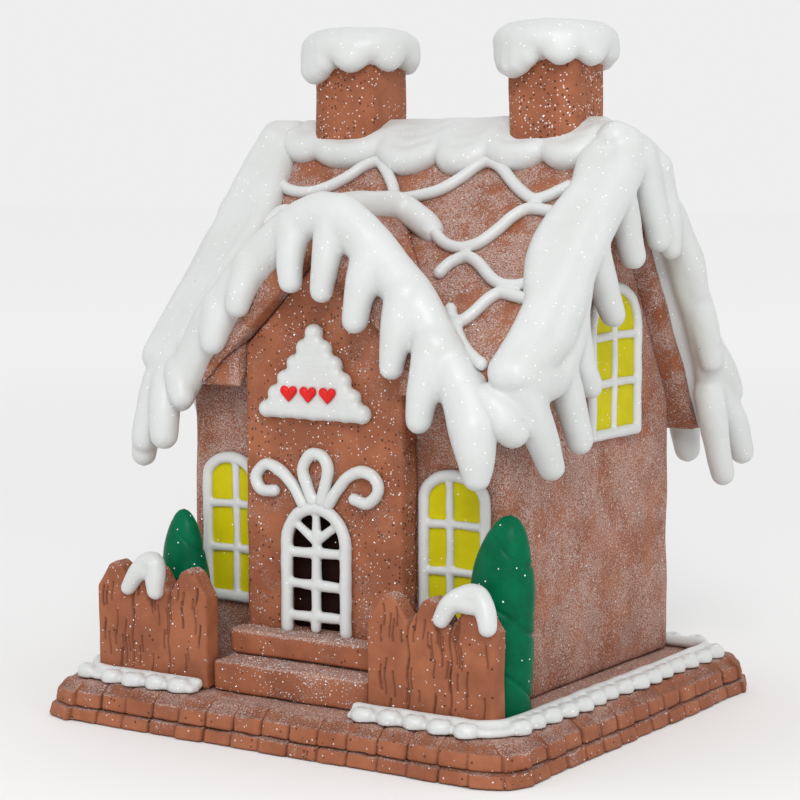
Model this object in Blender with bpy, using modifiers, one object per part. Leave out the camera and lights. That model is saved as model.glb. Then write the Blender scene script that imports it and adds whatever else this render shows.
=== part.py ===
"""Clay gingerbread house on a brick-edged slab, with icing snow, two chimneys, a porch gable and a picket fence.

Metres, +Z up. The door looks along -Y, and the slab's underside is at Z = 0.
"""
import math

import bmesh
import bpy
from mathutils import Vector

MM = 0.001
GAP = 0.3 * MM                 # clearance between pieces that touch

# Slab
SLAB_HALF_X = 80.3 * MM
SLAB_HALF_Y = 74.6 * MM
SLAB_CORNER = 10 * MM
COURSE_HEIGHT = 3.8 * MM
COURSE_STEP = 1.2 * MM         # how far the upper course sits inside the lower one
BRICKS_X = 14
BRICKS_Y = 13
BRICKS_CORNER = 2
JOINT_DEPTH = 0.9 * MM
JOINT_WIDTH = 1.5 * MM
PLATE_INSET = 3.2 * MM
PLATE_TOP = 11 * MM
PLATE_BEVEL = 1.6 * MM

# Scalloped icing rim on the slab
RIM_INSET = 12.8 * MM            # from the slab's side to the rim's inner edge
RIM_BAND = 3.2 * MM
RIM_SCALLOP = 4.2 * MM
RIM_HEIGHT = 3.2 * MM
RIM_PITCH = 8 * MM
RIM_GAP_LEFT = -29 * MM        # the rim is open in front of the steps
RIM_GAP_RIGHT = 26 * MM

# House body: a box with a gable at each end, the ridge along X
BODY_X = (-52 * MM, 55.4 * MM)
BODY_Y = (-34.4 * MM, 60.9 * MM)
RIDGE_Y = 20 * MM
RIDGE_Z = 170 * MM
FRONT_SLOPE = 1.0
BACK_SLOPE = 1.72
ROOF_X = (-59 * MM, 60.5 * MM)
ROOF_FRONT = (-45.5 * MM, 96 * MM)     # lower front edge: Y, and Z of its underside
ROOF_BACK = (73.5 * MM, 78 * MM)
ROOF_FRONT_DROP = 9.9 * MM             # upright thickness of the front panel
ROOF_BACK_DROP = 12 * MM

# Porch and its cross gable
PORCH_HALF = 26.9 * MM
PORCH_Y = -42.8 * MM
GABLE_Y = -47.5 * MM
GABLE_Z = 148.5 * MM
GABLE_SLOPE = 0.97
GABLE_HALF = 40 * MM
GABLE_DROP = 14.5 * MM
GABLE_FOOT = 95.5 * MM

# Wavy icing lines on the slopes: middle Y, swing, X of a wave's upper crest, wave length
LINE_WIDTH = 2.6 * MM
LINE_X = (-41 * MM, 48.6 * MM)
LINE_STEPS = 14
LINE_SPACE = 14 * MM             # kept free beside the cross gable
FRONT_LINES = ((1 * MM, 4.4 * MM, -16 * MM, 40 * MM), (-10 * MM, 5 * MM, 49 * MM, 36 * MM),
               (-20.5 * MM, 3 * MM, 32 * MM, 34 * MM), (-30 * MM, 2.6 * MM, 50 * MM, 24 * MM),
               (-39.5 * MM, 2 * MM, 38 * MM, 36 * MM))
BACK_LINES = ((38 * MM, 2.2 * MM, 0, 38 * MM), (46 * MM, 2.2 * MM, 12 * MM, 38 * MM),
              (54 * MM, 2.2 * MM, 0, 38 * MM), (61 * MM, 2 * MM, 12 * MM, 38 * MM))

# Chimneys
CHIMNEY_X = (-29.5 * MM, 38.6 * MM)
CHIMNEY_SIZE = 20 * MM
CHIMNEY_TOP = 191 * MM
CHIMNEY_ROUND = 4 * MM
CAP_TOP = 200 * MM

# Steps
STEP_LOW = (26.6 * MM, -60.3 * MM, 20 * MM)    # half width, front Y, top Z
STEP_HIGH = (27.6 * MM, -51.5 * MM, 27.4 * MM)

# Windows: icing frame, pane and the frame's inner bars
FRAME_WIDTH = 3 * MM
FRAME_DEPTH = 1.6 * MM
PANE_DEPTH = 0.6 * MM
BAR = 2.8 * MM

# Door
DOOR_X = -1.4 * MM
DOOR_HALF = 12 * MM
DOOR_TOP = 64.8 * MM
ROPE = 3.6 * MM
RECESS = 3 * MM

# Fence
FENCE_X = (27.4 * MM, 67.2 * MM)
FENCE_Y = (-61.5 * MM, -55 * MM)
FENCE_SHOULDER = 37.5 * MM
FENCE_PEAK = 45 * MM
PICKETS = 3

# Trees: X, Y, apex Z, half width, lean of the apex; their half depth is a share of the half width
TREES = {"tree_left": (-46.8 * MM, -45.6 * MM, 59.5 * MM, 8.2 * MM, 0.0),
         "tree_right": (58.2 * MM, -44.4 * MM, 66 * MM, 10.6 * MM, 4.6 * MM)}
TREE_DEPTH = 0.78

GINGERBREAD = ("gingerbread clay", (0.41, 0.14, 0.075), 0.75)
ICING = ("white icing clay", (0.78, 0.8, 0.8), 0.45)
PANE = ("yellow window paint", (0.6, 0.55, 0.02), 0.5)
LEAF = ("green tree clay", (0.005, 0.16, 0.07), 0.4)
RED = ("red motif clay", (0.75, 0.02, 0.01), 0.45)
DARK = ("dark doorway", (0.03, 0.012, 0.008), 0.8)


# ---------------------------------------------------------------- scene helpers

def clear_scene():
    for thing in list(bpy.data.objects):
        bpy.data.objects.remove(thing, do_unlink=True)


def collection(name):
    group = bpy.data.collections.new(name)
    bpy.context.scene.collection.children.link(group)
    return group


def material(spec):
    name, colour, roughness = spec
    found = bpy.data.materials.get(name)
    if found:
        return found
    made = bpy.data.materials.new(name)
    made.use_nodes = True
    shader = made.node_tree.nodes["Principled BSDF"]
    shader.inputs["Base Color"].default_value = (*colour, 1)
    shader.inputs["Roughness"].default_value = roughness
    shader.inputs["Metallic"].default_value = 0
    return made


def mesh_object(name, mesh, spec, group):
    thing = bpy.data.objects.new(name, mesh)
    group.objects.link(thing)
    mesh.materials.clear()
    mesh.materials.append(material(spec))
    return thing


def as_cutter(thing):
    thing.hide_render = True
    thing.display_type = "WIRE"
    return thing


def cut(thing, cutter, name="cut"):
    step = thing.modifiers.new(name, "BOOLEAN")
    step.operation = "DIFFERENCE"
    step.solver = "EXACT"
    step.object = cutter


def rounded(thing, width, segments=1, angle=50):
    step = thing.modifiers.new("rounded", "BEVEL")
    step.width = width
    step.segments = segments
    step.limit_method = "ANGLE"
    step.angle_limit = math.radians(angle)


def frozen(thing):
    """A plain mesh of the object as its modifiers shape it, with loose caps welded."""
    depsgraph = bpy.context.evaluated_depsgraph_get()
    mesh = bpy.data.meshes.new_from_object(thing.evaluated_get(depsgraph), depsgraph=depsgraph)
    work = bmesh.new()
    work.from_mesh(mesh)
    work.transform(thing.matrix_world)
    bmesh.ops.remove_doubles(work, verts=work.verts, dist=0.00001)
    work.to_mesh(mesh)
    work.free()
    return mesh


# ---------------------------------------------------------------- shapes

def outline(name, rings, low, high, spec, group, axis="Z"):
    """Flat outline with holes, thickened between two levels of its axis.

    A ring's points are (X, Y) for axis Z, (X, Z) for axis Y and (Y, Z) for axis X.
    """
    curve = bpy.data.curves.new(name, "CURVE")
    curve.dimensions = "2D"
    curve.fill_mode = "BOTH"
    curve.extrude = (high - low) / 2
    for ring in rings:
        spline = curve.splines.new("POLY")
        spline.points.add(len(ring) - 1)
        for point, (a, b) in zip(spline.points, ring):
            point.co = (a, b, 0, 1)
        spline.use_cyclic_u = True
    drawn = bpy.data.objects.new(name + "_drawn", curve)
    group.objects.link(drawn)
    middle = (high + low) / 2
    if axis == "Z":
        drawn.location = (0, 0, middle)
    elif axis == "Y":
        drawn.location = (0, middle, 0)
        drawn.rotation_euler = (math.radians(90), 0, 0)
    else:
        drawn.location = (middle, 0, 0)
        drawn.rotation_euler = (math.radians(90), 0, math.radians(90))
    bpy.context.view_layer.update()
    mesh = frozen(drawn)
    bpy.data.objects.remove(drawn)
    return mesh_object(name, mesh, spec, group)


def rounded_box(half_x, half_y, corner, steps=6, centre=(0, 0)):
    """Corner points of a rounded rectangle, anticlockwise from the front right."""
    points = []
    for sx, sy, start in ((1, -1, -90), (1, 1, 0), (-1, 1, 90), (-1, -1, 180)):
        cx, cy = centre[0] + sx * (half_x - corner), centre[1] + sy * (half_y - corner)
        for i in range(steps + 1):
            a = math.radians(start + 90 * i / steps)
            points.append((cx + corner * math.cos(a), cy + corner * math.sin(a)))
    return points


def perimeter(half_x, half_y, corner):
    """Point and outward normal of a rounded rectangle as a function of the way round it, from the front's middle."""
    straight_x, straight_y = 2 * (half_x - corner), 2 * (half_y - corner)
    arc = corner * math.pi / 2
    total = 2 * (straight_x + straight_y) + 4 * arc
    runs = [(straight_x / 2, (0, -half_y), (1, 0), (0, -1)),
            (arc, (half_x - corner, -half_y + corner), None, -90),
            (straight_y, (half_x, -half_y + corner), (0, 1), (1, 0)),
            (arc, (half_x - corner, half_y - corner), None, 0),
            (straight_x, (half_x - corner, half_y), (-1, 0), (0, 1)),
            (arc, (-half_x + corner, half_y - corner), None, 90),
            (straight_y, (-half_x, half_y - corner), (0, -1), (-1, 0)),
            (arc, (-half_x + corner, -half_y + corner), None, 180),
            (straight_x / 2, (-half_x + corner, -half_y), (1, 0), (0, -1))]

    def at(way):
        way = way % total
        for length, start, along, facing in runs:
            if way <= length:
                break
            way -= length
        if along:
            return Vector((start[0] + along[0] * way, start[1] + along[1] * way)), Vector(facing)
        a = math.radians(facing) + way / corner
        normal = Vector((math.cos(a), math.sin(a)))
        return Vector(start) + corner * normal, normal
    return at, total


def stack(name, rings, spec, group):
    """Closed solid through rings of equal point count, each a list of 3-D points, from low to high."""
    work = bmesh.new()
    loops = [[work.verts.new(p) for p in ring] for ring in rings]
    count = len(loops[0])
    for lower, upper in zip(loops, loops[1:]):
        for i in range(count):
            j = (i + 1) % count
            work.faces.new((lower[i], lower[j], upper[j], upper[i]))
    bottom = work.faces.new(list(reversed(loops[0])))
    top = work.faces.new(loops[-1])
    bmesh.ops.triangulate(work, faces=[bottom, top], ngon_method="EAR_CLIP")
    mesh = bpy.data.meshes.new(name)
    work.to_mesh(mesh)
    work.free()
    return mesh_object(name, mesh, spec, group)


def beads(name, chains, spec, group, fineness, faces, grow=0.0):
    """Soft lump: round beads strung along chains of (x, y, z, radius) in millimetres, melted into one skin."""
    ball = bmesh.new()
    bmesh.ops.create_icosphere(ball, subdivisions=2, radius=1)
    ball.verts.index_update()
    ball_points = [vert.co.copy() for vert in ball.verts]
    ball_faces = [[vert.index for vert in face.verts] for face in ball.faces]
    ball.free()
    points, sides = [], []
    for chain in chains:
        spots = [chain[0]]
        for a, b in zip(chain, chain[1:]):
            length = (Vector(b[:3]) - Vector(a[:3])).length
            count = max(1, math.ceil(length / (0.45 * min(a[3], b[3]))))
            for i in range(1, count + 1):
                t = i / count
                spots.append([a[k] + (b[k] - a[k]) * t for k in range(4)])
        for x, y, z, r in spots:
            first = len(points)
            points += [Vector((x, y, z)) * MM + co * (r * MM + grow) for co in ball_points]
            sides += [[first + k for k in face] for face in ball_faces]
    mesh = bpy.data.meshes.new(name)
    mesh.from_pydata(points, [], sides)
    thing = mesh_object(name, mesh, spec, group)
    melt = thing.modifiers.new("melt", "REMESH")
    melt.mode = "VOXEL"
    melt.voxel_size = fineness
    calm = thing.modifiers.new("calm", "SMOOTH")
    calm.factor = 0.5
    calm.iterations = 2
    skin = thing.modifiers.new("skin", "DECIMATE")
    skin.ratio = 1.0
    depsgraph = bpy.context.evaluated_depsgraph_get()
    full = len(thing.evaluated_get(depsgraph).data.polygons) * 2
    skin.ratio = min(1.0, faces / full)
    melted = frozen(thing)
    bpy.data.objects.remove(thing)
    return mesh_object(name, melted, spec, group)


def rope(name, route, radius, spec, group, closed=False):
    """Round icing rope along points in metres."""
    curve = bpy.data.curves.new(name, "CURVE")
    curve.dimensions = "3D"
    curve.bevel_depth = radius
    curve.bevel_resolution = 1
    curve.use_fill_caps = not closed
    spline = curve.splines.new("POLY")
    spline.points.add(len(route) - 1)
    for point, co in zip(spline.points, route):
        point.co = (*co, 1)
    spline.use_cyclic_u = closed
    drawn = bpy.data.objects.new(name + "_drawn", curve)
    group.objects.link(drawn)
    bpy.context.view_layer.update()
    mesh = frozen(drawn)
    bpy.data.objects.remove(drawn)
    return mesh_object(name, mesh, spec, group)


def smooth_route(points, per_span):
    """Catmull-Rom curve through points given as tuples of any length."""
    padded = [points[0], *points, points[-1]]
    route = []
    for i in range(1, len(padded) - 2):
        p0, p1, p2, p3 = padded[i - 1:i + 3]
        for k in range(per_span):
            t = k / per_span
            route.append(tuple(0.5 * (2 * b + (c - a) * t + (2 * a - 5 * b + 4 * c - d) * t ** 2
                                      + (3 * b - a - 3 * c + d) * t ** 3)
                               for a, b, c, d in zip(p0, p1, p2, p3)))
    route.append(points[-1])
    return route


# ---------------------------------------------------------------- slab

def brick_course(name, low, half_x, half_y, group):
    """One course of rounded bricks: upright joints are pressed into its edge all round."""
    at, total = perimeter(half_x, half_y, SLAB_CORNER)
    bricks = 2 * (BRICKS_X + BRICKS_Y) + 4 * BRICKS_CORNER

    def ring(height, inset):
        points = []
        for k in range(bricks):
            for way, depth in ((0, JOINT_DEPTH), (JOINT_WIDTH / 2, 0), (total / bricks - JOINT_WIDTH / 2, 0)):
                spot, normal = at(k * total / bricks + way)
                spot = spot - normal * (inset + depth)
                points.append((spot.x, spot.y, height))
        return points

    return stack(name, [ring(low, 0), ring(low + COURSE_HEIGHT, COURSE_HEIGHT * 0.25)], GINGERBREAD, group)


def slab(group):
    brick_course("brick_course_lower", 0, SLAB_HALF_X, SLAB_HALF_Y, group)
    upper = COURSE_HEIGHT + GAP
    brick_course("brick_course_upper", upper, SLAB_HALF_X - COURSE_STEP, SLAB_HALF_Y - COURSE_STEP, group)
    edge = rounded_box(SLAB_HALF_X - PLATE_INSET, SLAB_HALF_Y - PLATE_INSET, SLAB_CORNER - 2 * MM, 3)
    plate = outline("base_plate", [edge], upper + COURSE_HEIGHT + GAP, PLATE_TOP, GINGERBREAD, group)
    rounded(plate, PLATE_BEVEL)


def rim(group):
    """Icing rim: a band along the slab's edge with scallops on its outer side, open at the steps."""
    half_x, half_y = SLAB_HALF_X - RIM_INSET, SLAB_HALF_Y - RIM_INSET
    at, total = perimeter(half_x, half_y, SLAB_CORNER / 2)
    start, end = RIM_GAP_RIGHT, total + RIM_GAP_LEFT
    scallops = round((end - start) / RIM_PITCH)
    inner = [(RIM_GAP_RIGHT, -half_y), (half_x, -half_y)]
    x, y, _, radius, _ = TREES["tree_right"]
    room = radius + 2 * GAP
    reach = math.acos((half_x - x) / room)
    for k in range(5):
        a = reach * (k / 2 - 1)
        inner.append((x + room * math.cos(a), y + TREE_DEPTH * room * math.sin(a)))
    inner += [(half_x, half_y), (-half_x, half_y), (-half_x, -half_y), (RIM_GAP_LEFT, -half_y)]

    ring = []
    for i in range(3 * scallops + 1):
        spot, normal = at(start + (end - start) * i / (3 * scallops))
        spot = spot + normal * (RIM_BAND + (0 if i % 3 == 0 else RIM_SCALLOP))
        ring.append((spot.x, spot.y))
    low = PLATE_TOP + GAP
    outline("rim_icing", [ring + inner[::-1]], low, low + RIM_HEIGHT, ICING, group)


# ---------------------------------------------------------------- walls and roofs

def front_top(y):
    return RIDGE_Z - FRONT_SLOPE * (RIDGE_Y - y)


def back_top(y):
    return RIDGE_Z - BACK_SLOPE * (y - RIDGE_Y)


def gable_top(x):
    return GABLE_Z - GABLE_SLOPE * abs(x)


def roof_shadow(name, front, cutters):
    """Everything below the main roof's upper faces, from a front plane to behind the house, as a cutter."""
    lift = 1.5 * GAP
    back = ROOF_BACK[0] + 2 * GAP
    profile = [(front, 0), (back, 0), (back, back_top(back) + 2 * lift),
               (RIDGE_Y, RIDGE_Z + lift), (front, front_top(front) + lift)]
    return as_cutter(outline(name, [profile], ROOF_X[0] - lift, ROOF_X[1] + lift, ICING, cutters, "X"))


def gable_shadow(name, cutters):
    """Everything below the cross gable's upper faces, as a cutter."""
    reach = GABLE_HALF + GAP
    lift = 1.5 * GAP
    profile = [(-reach, 0), (reach, 0), (reach, gable_top(reach) + lift), (0, GABLE_Z + lift),
               (-reach, gable_top(reach) + lift)]
    return as_cutter(outline(name, [profile], GABLE_Y - GAP, RIDGE_Y, ICING, cutters, "Y"))


def house_body(group):
    floor = PLATE_TOP + GAP
    front, back = BODY_Y
    ceiling = RIDGE_Z - ROOF_BACK_DROP - 2 * GAP
    eave_front = front_top(front) - ROOF_FRONT_DROP - 1.5 * GAP
    eave_back = back_top(back) - ROOF_BACK_DROP - 2 * GAP
    shoulder = front + (ceiling - eave_front) / FRONT_SLOPE
    profile = [(front, floor), (back, floor), (back, eave_back), (RIDGE_Y, ceiling), (shoulder, ceiling),
               (front, eave_front)]
    outline("house_body", [profile], *BODY_X, GINGERBREAD, group, "X")


def main_roof(group, cutters):
    """Two thick panels that meet at the ridge; the front one leaves room for the porch."""
    seam = RIDGE_Y - GAP / 2
    y, foot = ROOF_FRONT
    inner = y + (foot + ROOF_FRONT_DROP - front_top(y)) / FRONT_SLOPE
    front = [(y, foot), (inner, foot), (seam, front_top(seam) - ROOF_FRONT_DROP), (seam, front_top(seam)),
             (y, front_top(y))]
    panel = outline("roof_front", [front], *ROOF_X, GINGERBREAD, group, "X")
    notch = [(-PORCH_HALF - GAP, y - 9 * MM), (PORCH_HALF + GAP, y - 9 * MM),
             (PORCH_HALF + GAP, BODY_Y[0]), (-PORCH_HALF - GAP, BODY_Y[0])]
    cut(panel, as_cutter(outline("porch_notch", [notch], foot - 9 * MM, RIDGE_Z, GINGERBREAD, cutters)))
    seam = RIDGE_Y + GAP / 2
    y, foot = ROOF_BACK
    inner = RIDGE_Y + (RIDGE_Z - ROOF_BACK_DROP - foot) / BACK_SLOPE
    back = [(seam, back_top(seam)), (seam, back_top(seam) - ROOF_BACK_DROP), (inner, foot), (y, foot)]
    outline("roof_back", [back], *ROOF_X, GINGERBREAD, group, "X")


def porch(group, cutters):
    """Porch with a pointed front, its cross gable and a shallow arched door recess."""
    floor = PLATE_TOP + GAP
    eave = gable_top(PORCH_HALF) - GABLE_DROP - 1.5 * GAP
    point = GABLE_Z - GABLE_DROP - 1.5 * GAP
    wall = [(-PORCH_HALF, floor), (PORCH_HALF, floor), (PORCH_HALF, eave), (0, point), (-PORCH_HALF, eave)]
    front = outline("porch_front", [wall], PORCH_Y, RIDGE_Y / 2, GINGERBREAD, group, "Y")
    cut(front, roof_shadow("behind_porch", BODY_Y[0] - GAP, cutters), "behind")
    recess = arch_ring(DOOR_X, DOOR_HALF - 1.5 * MM, STEP_HIGH[2] + GAP, DOOR_TOP - 1.5 * MM, 1.0)
    cut(front, as_cutter(outline("door_recess", [recess], PORCH_Y - RECESS, PORCH_Y + RECESS, DARK, cutters, "Y")),
        "recess")
    shade = arch_ring(DOOR_X, DOOR_HALF - 2 * MM, STEP_HIGH[2] + 2 * GAP, DOOR_TOP - 2 * MM, 1.0)
    outline("door_shade", [shade], PORCH_Y + RECESS - 1.2 * MM, PORCH_Y + RECESS - GAP, DARK, group, "Y")
    foot = (GABLE_Z - GABLE_DROP - GABLE_FOOT) / GABLE_SLOPE
    edge = [(-GABLE_HALF, GABLE_FOOT), (-foot, GABLE_FOOT), (0, GABLE_Z - GABLE_DROP), (foot, GABLE_FOOT),
            (GABLE_HALF, GABLE_FOOT), (GABLE_HALF, gable_top(GABLE_HALF)), (0, GABLE_Z),
            (-GABLE_HALF, gable_top(GABLE_HALF))]
    gable = outline("roof_gable", [edge], GABLE_Y, RIDGE_Y / 2, GINGERBREAD, group, "Y")
    cut(gable, roof_shadow("behind_gable", ROOF_FRONT[0] - GAP, cutters), "behind")


def steps(group):
    bottom = PLATE_TOP + GAP
    back = PORCH_Y - GAP
    for name, (half, front, top) in (("step_lower", STEP_LOW), ("step_upper", STEP_HIGH)):
        ring = rounded_box(half, (back - front) / 2, 2 * MM, 2, (0, (front + back) / 2))
        rounded(outline(name, [ring], bottom, top, GINGERBREAD, group), 1.2 * MM)
        bottom = top + GAP


def chimneys(group, cutters):
    shadow = roof_shadow("below_chimneys", ROOF_FRONT[0], cutters)
    for side, x in zip(("left", "right"), CHIMNEY_X):
        ring = rounded_box(CHIMNEY_SIZE / 2, CHIMNEY_SIZE / 2, CHIMNEY_ROUND, 3, (x, RIDGE_Y))
        cut(outline("chimney_" + side, [ring], RIDGE_Z - CHIMNEY_SIZE, CHIMNEY_TOP, GINGERBREAD, group), shadow)


# ---------------------------------------------------------------- windows, door, sign

def arch_ring(middle, half, low, top, rise_share):
    """Arched outline: a rectangle under a half ellipse, whose rise is a share of its half width."""
    rise = half * rise_share
    parts = 6
    arc = [(middle + half * math.cos(math.pi * k / parts), top - rise + rise * math.sin(math.pi * k / parts))
           for k in range(parts + 1)]
    return [(middle - half, low), (middle + half, low)] + arc


def window(name, axis, face, outward, middle, half, low, top, rise_share, bar_at, group):
    """White frame with two columns of three lights, over one yellow pane that is set on the wall."""
    def span(near, far):
        a, b = face + outward * near, face + outward * far
        return min(a, b), max(a, b)

    inner = half - FRAME_WIDTH
    rise = (half - FRAME_WIDTH) * rise_share
    sill, head = low + FRAME_WIDTH, top - FRAME_WIDTH
    row = (head - sill - 2 * BAR) / 3
    holes = []
    for left, right in ((middle - inner, bar_at - BAR / 2), (bar_at + BAR / 2, middle + inner)):
        for k in range(2):
            base = sill + k * (row + BAR)
            holes.append([(left, base), (right, base), (right, base + row), (left, base + row)])
        base = sill + 2 * (row + BAR)
        curve = []
        for k in range(4):
            x = right + (left - right) * k / 3
            share = min(1, abs(x - middle) / inner)
            curve.append((x, max(base + 1 * MM, head - rise + rise * math.sqrt(1 - share ** 2))))
        holes.append([(left, base), (right, base)] + curve)
    frame = arch_ring(middle, half, low, top, rise_share)
    pane = arch_ring(middle, half - 1 * MM, low + 1 * MM, top - 1 * MM, rise_share)
    outline(name + "_pane", [pane], *span(GAP, GAP + PANE_DEPTH), PANE, group, axis)
    near = 2 * GAP + PANE_DEPTH
    outline(name + "_frame", [frame] + holes, *span(near, near + FRAME_DEPTH), ICING, group, axis)


def windows(group):
    front, back = BODY_Y
    left, right = BODY_X
    low, top = 31.5 * MM, 75.7 * MM
    window("window_front_left", "Y", front, -1, -37.8 * MM, 10.2 * MM, low, top, 0.7, -36 * MM, group)
    window("window_front_right", "Y", front, -1, 39 * MM, 11.6 * MM, low, top, 0.7, 38 * MM, group)
    for name, middle in (("window_back_left", -28 * MM), ("window_back_right", 30 * MM)):
        window(name, "Y", back, 1, middle, 11.6 * MM, low, top, 0.7, middle, group)
    for name, face, outward in (("window_side_left", left, -1), ("window_side_right", right, 1)):
        window(name, "X", face, outward, 23.2 * MM, 15.3 * MM, 79.5 * MM, 125 * MM, 0.85, 22.4 * MM, group)


def door(group):
    """Icing lattice: an arch of rope with one upright, three bars and a fan of spokes, seen as a pierced plate."""
    low = STEP_HIGH[2] + GAP
    springing = DOOR_TOP - DOOR_HALF
    inner = DOOR_HALF - ROPE
    centre = DOOR_X
    rows = 3
    row = (springing - ROPE / 2 - low - (rows - 1) * ROPE) / rows
    holes = []
    for side in (-1, 1):
        near, far = centre + side * ROPE / 2, centre + side * inner
        a, b = min(near, far), max(near, far)
        for k in range(rows):
            base = low + 0.8 * MM + k * (row + ROPE)
            tall = row - (0.8 * MM if k == 0 else 0)
            holes.append([(a, base), (b, base), (b, base + tall), (a, base + tall)])
    fan = springing + ROPE / 2
    reach = inner - 0.4 * MM
    for start, end in ((14, 62), (118, 166)):
        wedge = [(centre + 3.2 * MM * math.cos(math.radians((start + end) / 2)),
                  fan + 2.2 * MM * math.sin(math.radians((start + end) / 2)))]
        for k in range(4):
            a = math.radians(start + (end - start) * k / 3)
            wedge.append((centre + reach * math.cos(a), springing + reach * math.sin(a)))
        holes.append(wedge)
    frame = arch_ring(centre, DOOR_HALF, low, DOOR_TOP, 1.0)
    outline("door_lattice", [frame] + holes, PORCH_Y - GAP - 2.2 * MM, PORCH_Y - GAP, ICING, group, "Y")
    scroll(group)


def scroll(group):
    """Three icing ropes over the door: a loop in the middle and a curl on each side."""
    radius = 1.45 * MM
    y = (PORCH_Y - GAP - radius) / MM
    curl = [(5.2, 67.6), (9.2, 72.2), (14.6, 74.8), (19.8, 73.6), (20.9, 69.4), (17.2, 66.2), (13.2, 68.2)]
    for side, name in ((-1, "door_curl_left"), (1, "door_curl_right")):
        route = [(DOOR_X + side * x * MM, y * MM, z * MM) for x, z in smooth_route(curl, 2)]
        rope(name, route, radius, ICING, group)
    loop = [(0, 67.2), (3.2, 70.4), (3.9, 74), (2.4, 77), (0, 78), (-2.4, 77), (-3.9, 74), (-3.2, 70.4)]
    rope("door_loop", [(DOOR_X + x * MM, y * MM, z * MM) for x, z in loop], radius, ICING, group, closed=True)


def sign(group):
    """Scalloped triangular plaque with three small hearts."""
    corners = [(-20.4 * MM, 88.6 * MM), (17.2 * MM, 88.6 * MM), (-1.6 * MM, 114.6 * MM)]
    lobes = (5, 4, 4)
    ring = []
    for i, count in enumerate(lobes):
        a, b = Vector(corners[i]), Vector(corners[(i + 1) % 3])
        out = Vector(((b - a).y, -(b - a).x)).normalized()
        for k in range(3 * count):
            bulge = 0 if k % 3 == 0 else 1.3 * MM
            spot = a.lerp(b, k / (3 * count)) + out * bulge
            ring.append((spot.x, spot.y))
    back = PORCH_Y - GAP
    front = back - 3.6 * MM
    outline("sign_plaque", [ring], front, back, ICING, group, "Y")
    for k, name in enumerate(("sign_heart_left", "sign_heart_middle", "sign_heart_right")):
        outline(name, [heart((-8.4 + 6.6 * k) * MM, 95.2 * MM, 2.9 * MM)], front - GAP - 0.9 * MM, front - GAP,
                RED, group, "Y")


def heart(x, z, size):
    points = []
    for k in range(10):
        a = 2 * math.pi * (k + 0.5) / 10
        across = math.sin(a) ** 3
        up = (13 * math.cos(a) - 5 * math.cos(2 * a) - 2 * math.cos(3 * a) - math.cos(4 * a)) / 16
        points.append((x + size * across, z + size * up))
    return points[::-1]


# ---------------------------------------------------------------- garden

def fence_ring(side, extra):
    """Outline of a fence with pointed pickets, grown by extra."""
    low = PLATE_TOP + GAP - extra
    near, far = FENCE_X[0] - extra, FENCE_X[1] + extra
    width = (far - near) / PICKETS
    ring = [(near, low), (far, low)]
    for k in range(PICKETS - 1, -1, -1):
        for share, height in ((1.0, FENCE_SHOULDER), (0.68, FENCE_PEAK - 1.2 * MM), (0.5, FENCE_PEAK),
                              (0.32, FENCE_PEAK - 1.2 * MM)):
            ring.append((near + (k + share) * width, height + extra))
    ring.append((near, FENCE_SHOULDER + extra))
    return [(side * x, z) for x, z in ring]


def fences(group, cutters):
    """Two fences with pointed pickets, each with an icing tick draped over one point."""
    drapes = {"left": ((-53.6, 37.2), (-47.4, 46), (-46, 46), (-43.8, 36.6)),
              "right": ((51.5, 38.6), (60, 46.2), (61.6, 46.2), (66.3, 38.2))}
    for side, name in ((-1, "left"), (1, "right")):
        board = outline("fence_" + name, [fence_ring(side, 0)], *FENCE_Y, GINGERBREAD, group, "Y")
        rounded(board, 0.7 * MM, angle=70)
        room = outline("fence_room_" + name, [fence_ring(side, 2 * GAP)], FENCE_Y[0] - GAP, FENCE_Y[1] + GAP,
                       ICING, cutters, "Y")
        y = FENCE_Y[0] / MM
        (ax, az), (bx, bz), (cx, cz), (dx, dz) = drapes[name]
        chain = [(ax, y - 1, az, 2.2), (bx, y + 0.6, bz, 2.6), (cx, y + 0.6, cz, 2.6), (dx, y - 1, dz, 2.2)]
        cut(beads("fence_snow_" + name, [chain], ICING, group, 0.9 * MM, 70), as_cutter(room))


def trees(group):
    """Cone-like clay trees, flatter from front to back, with shallow ridges that wind round them."""
    low = PLATE_TOP + GAP
    levels, around = 6, 10
    for name, (x, y, top, radius, lean) in TREES.items():
        rings = []
        for k in range(levels + 1):
            t = k / levels
            height = low + (top - low) * t
            girth = radius * max(0.2, (1 - t ** 3.6) ** 0.68)
            ring = []
            for i in range(around):
                a = 2 * math.pi * i / around
                r = girth * (1 + 0.04 * math.cos(2 * a + 7 * t))
                ring.append((x + lean * t ** 2 + r * math.cos(a), y + TREE_DEPTH * r * math.sin(a), height))
            rings.append(ring)
        stack(name, rings, LEAF, group)


# ---------------------------------------------------------------- icing snow

def finger(root, tip, root_radius=5.0, tip_radius=3.4):
    """A drip from root to tip, with its narrowest stretch just above a rounded end."""
    middle = [(a + b) / 2 for a, b in zip(root, tip)]
    return [(*root, root_radius), (*middle, (root_radius + tip_radius) / 2.1), (*tip, tip_radius)]


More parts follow.
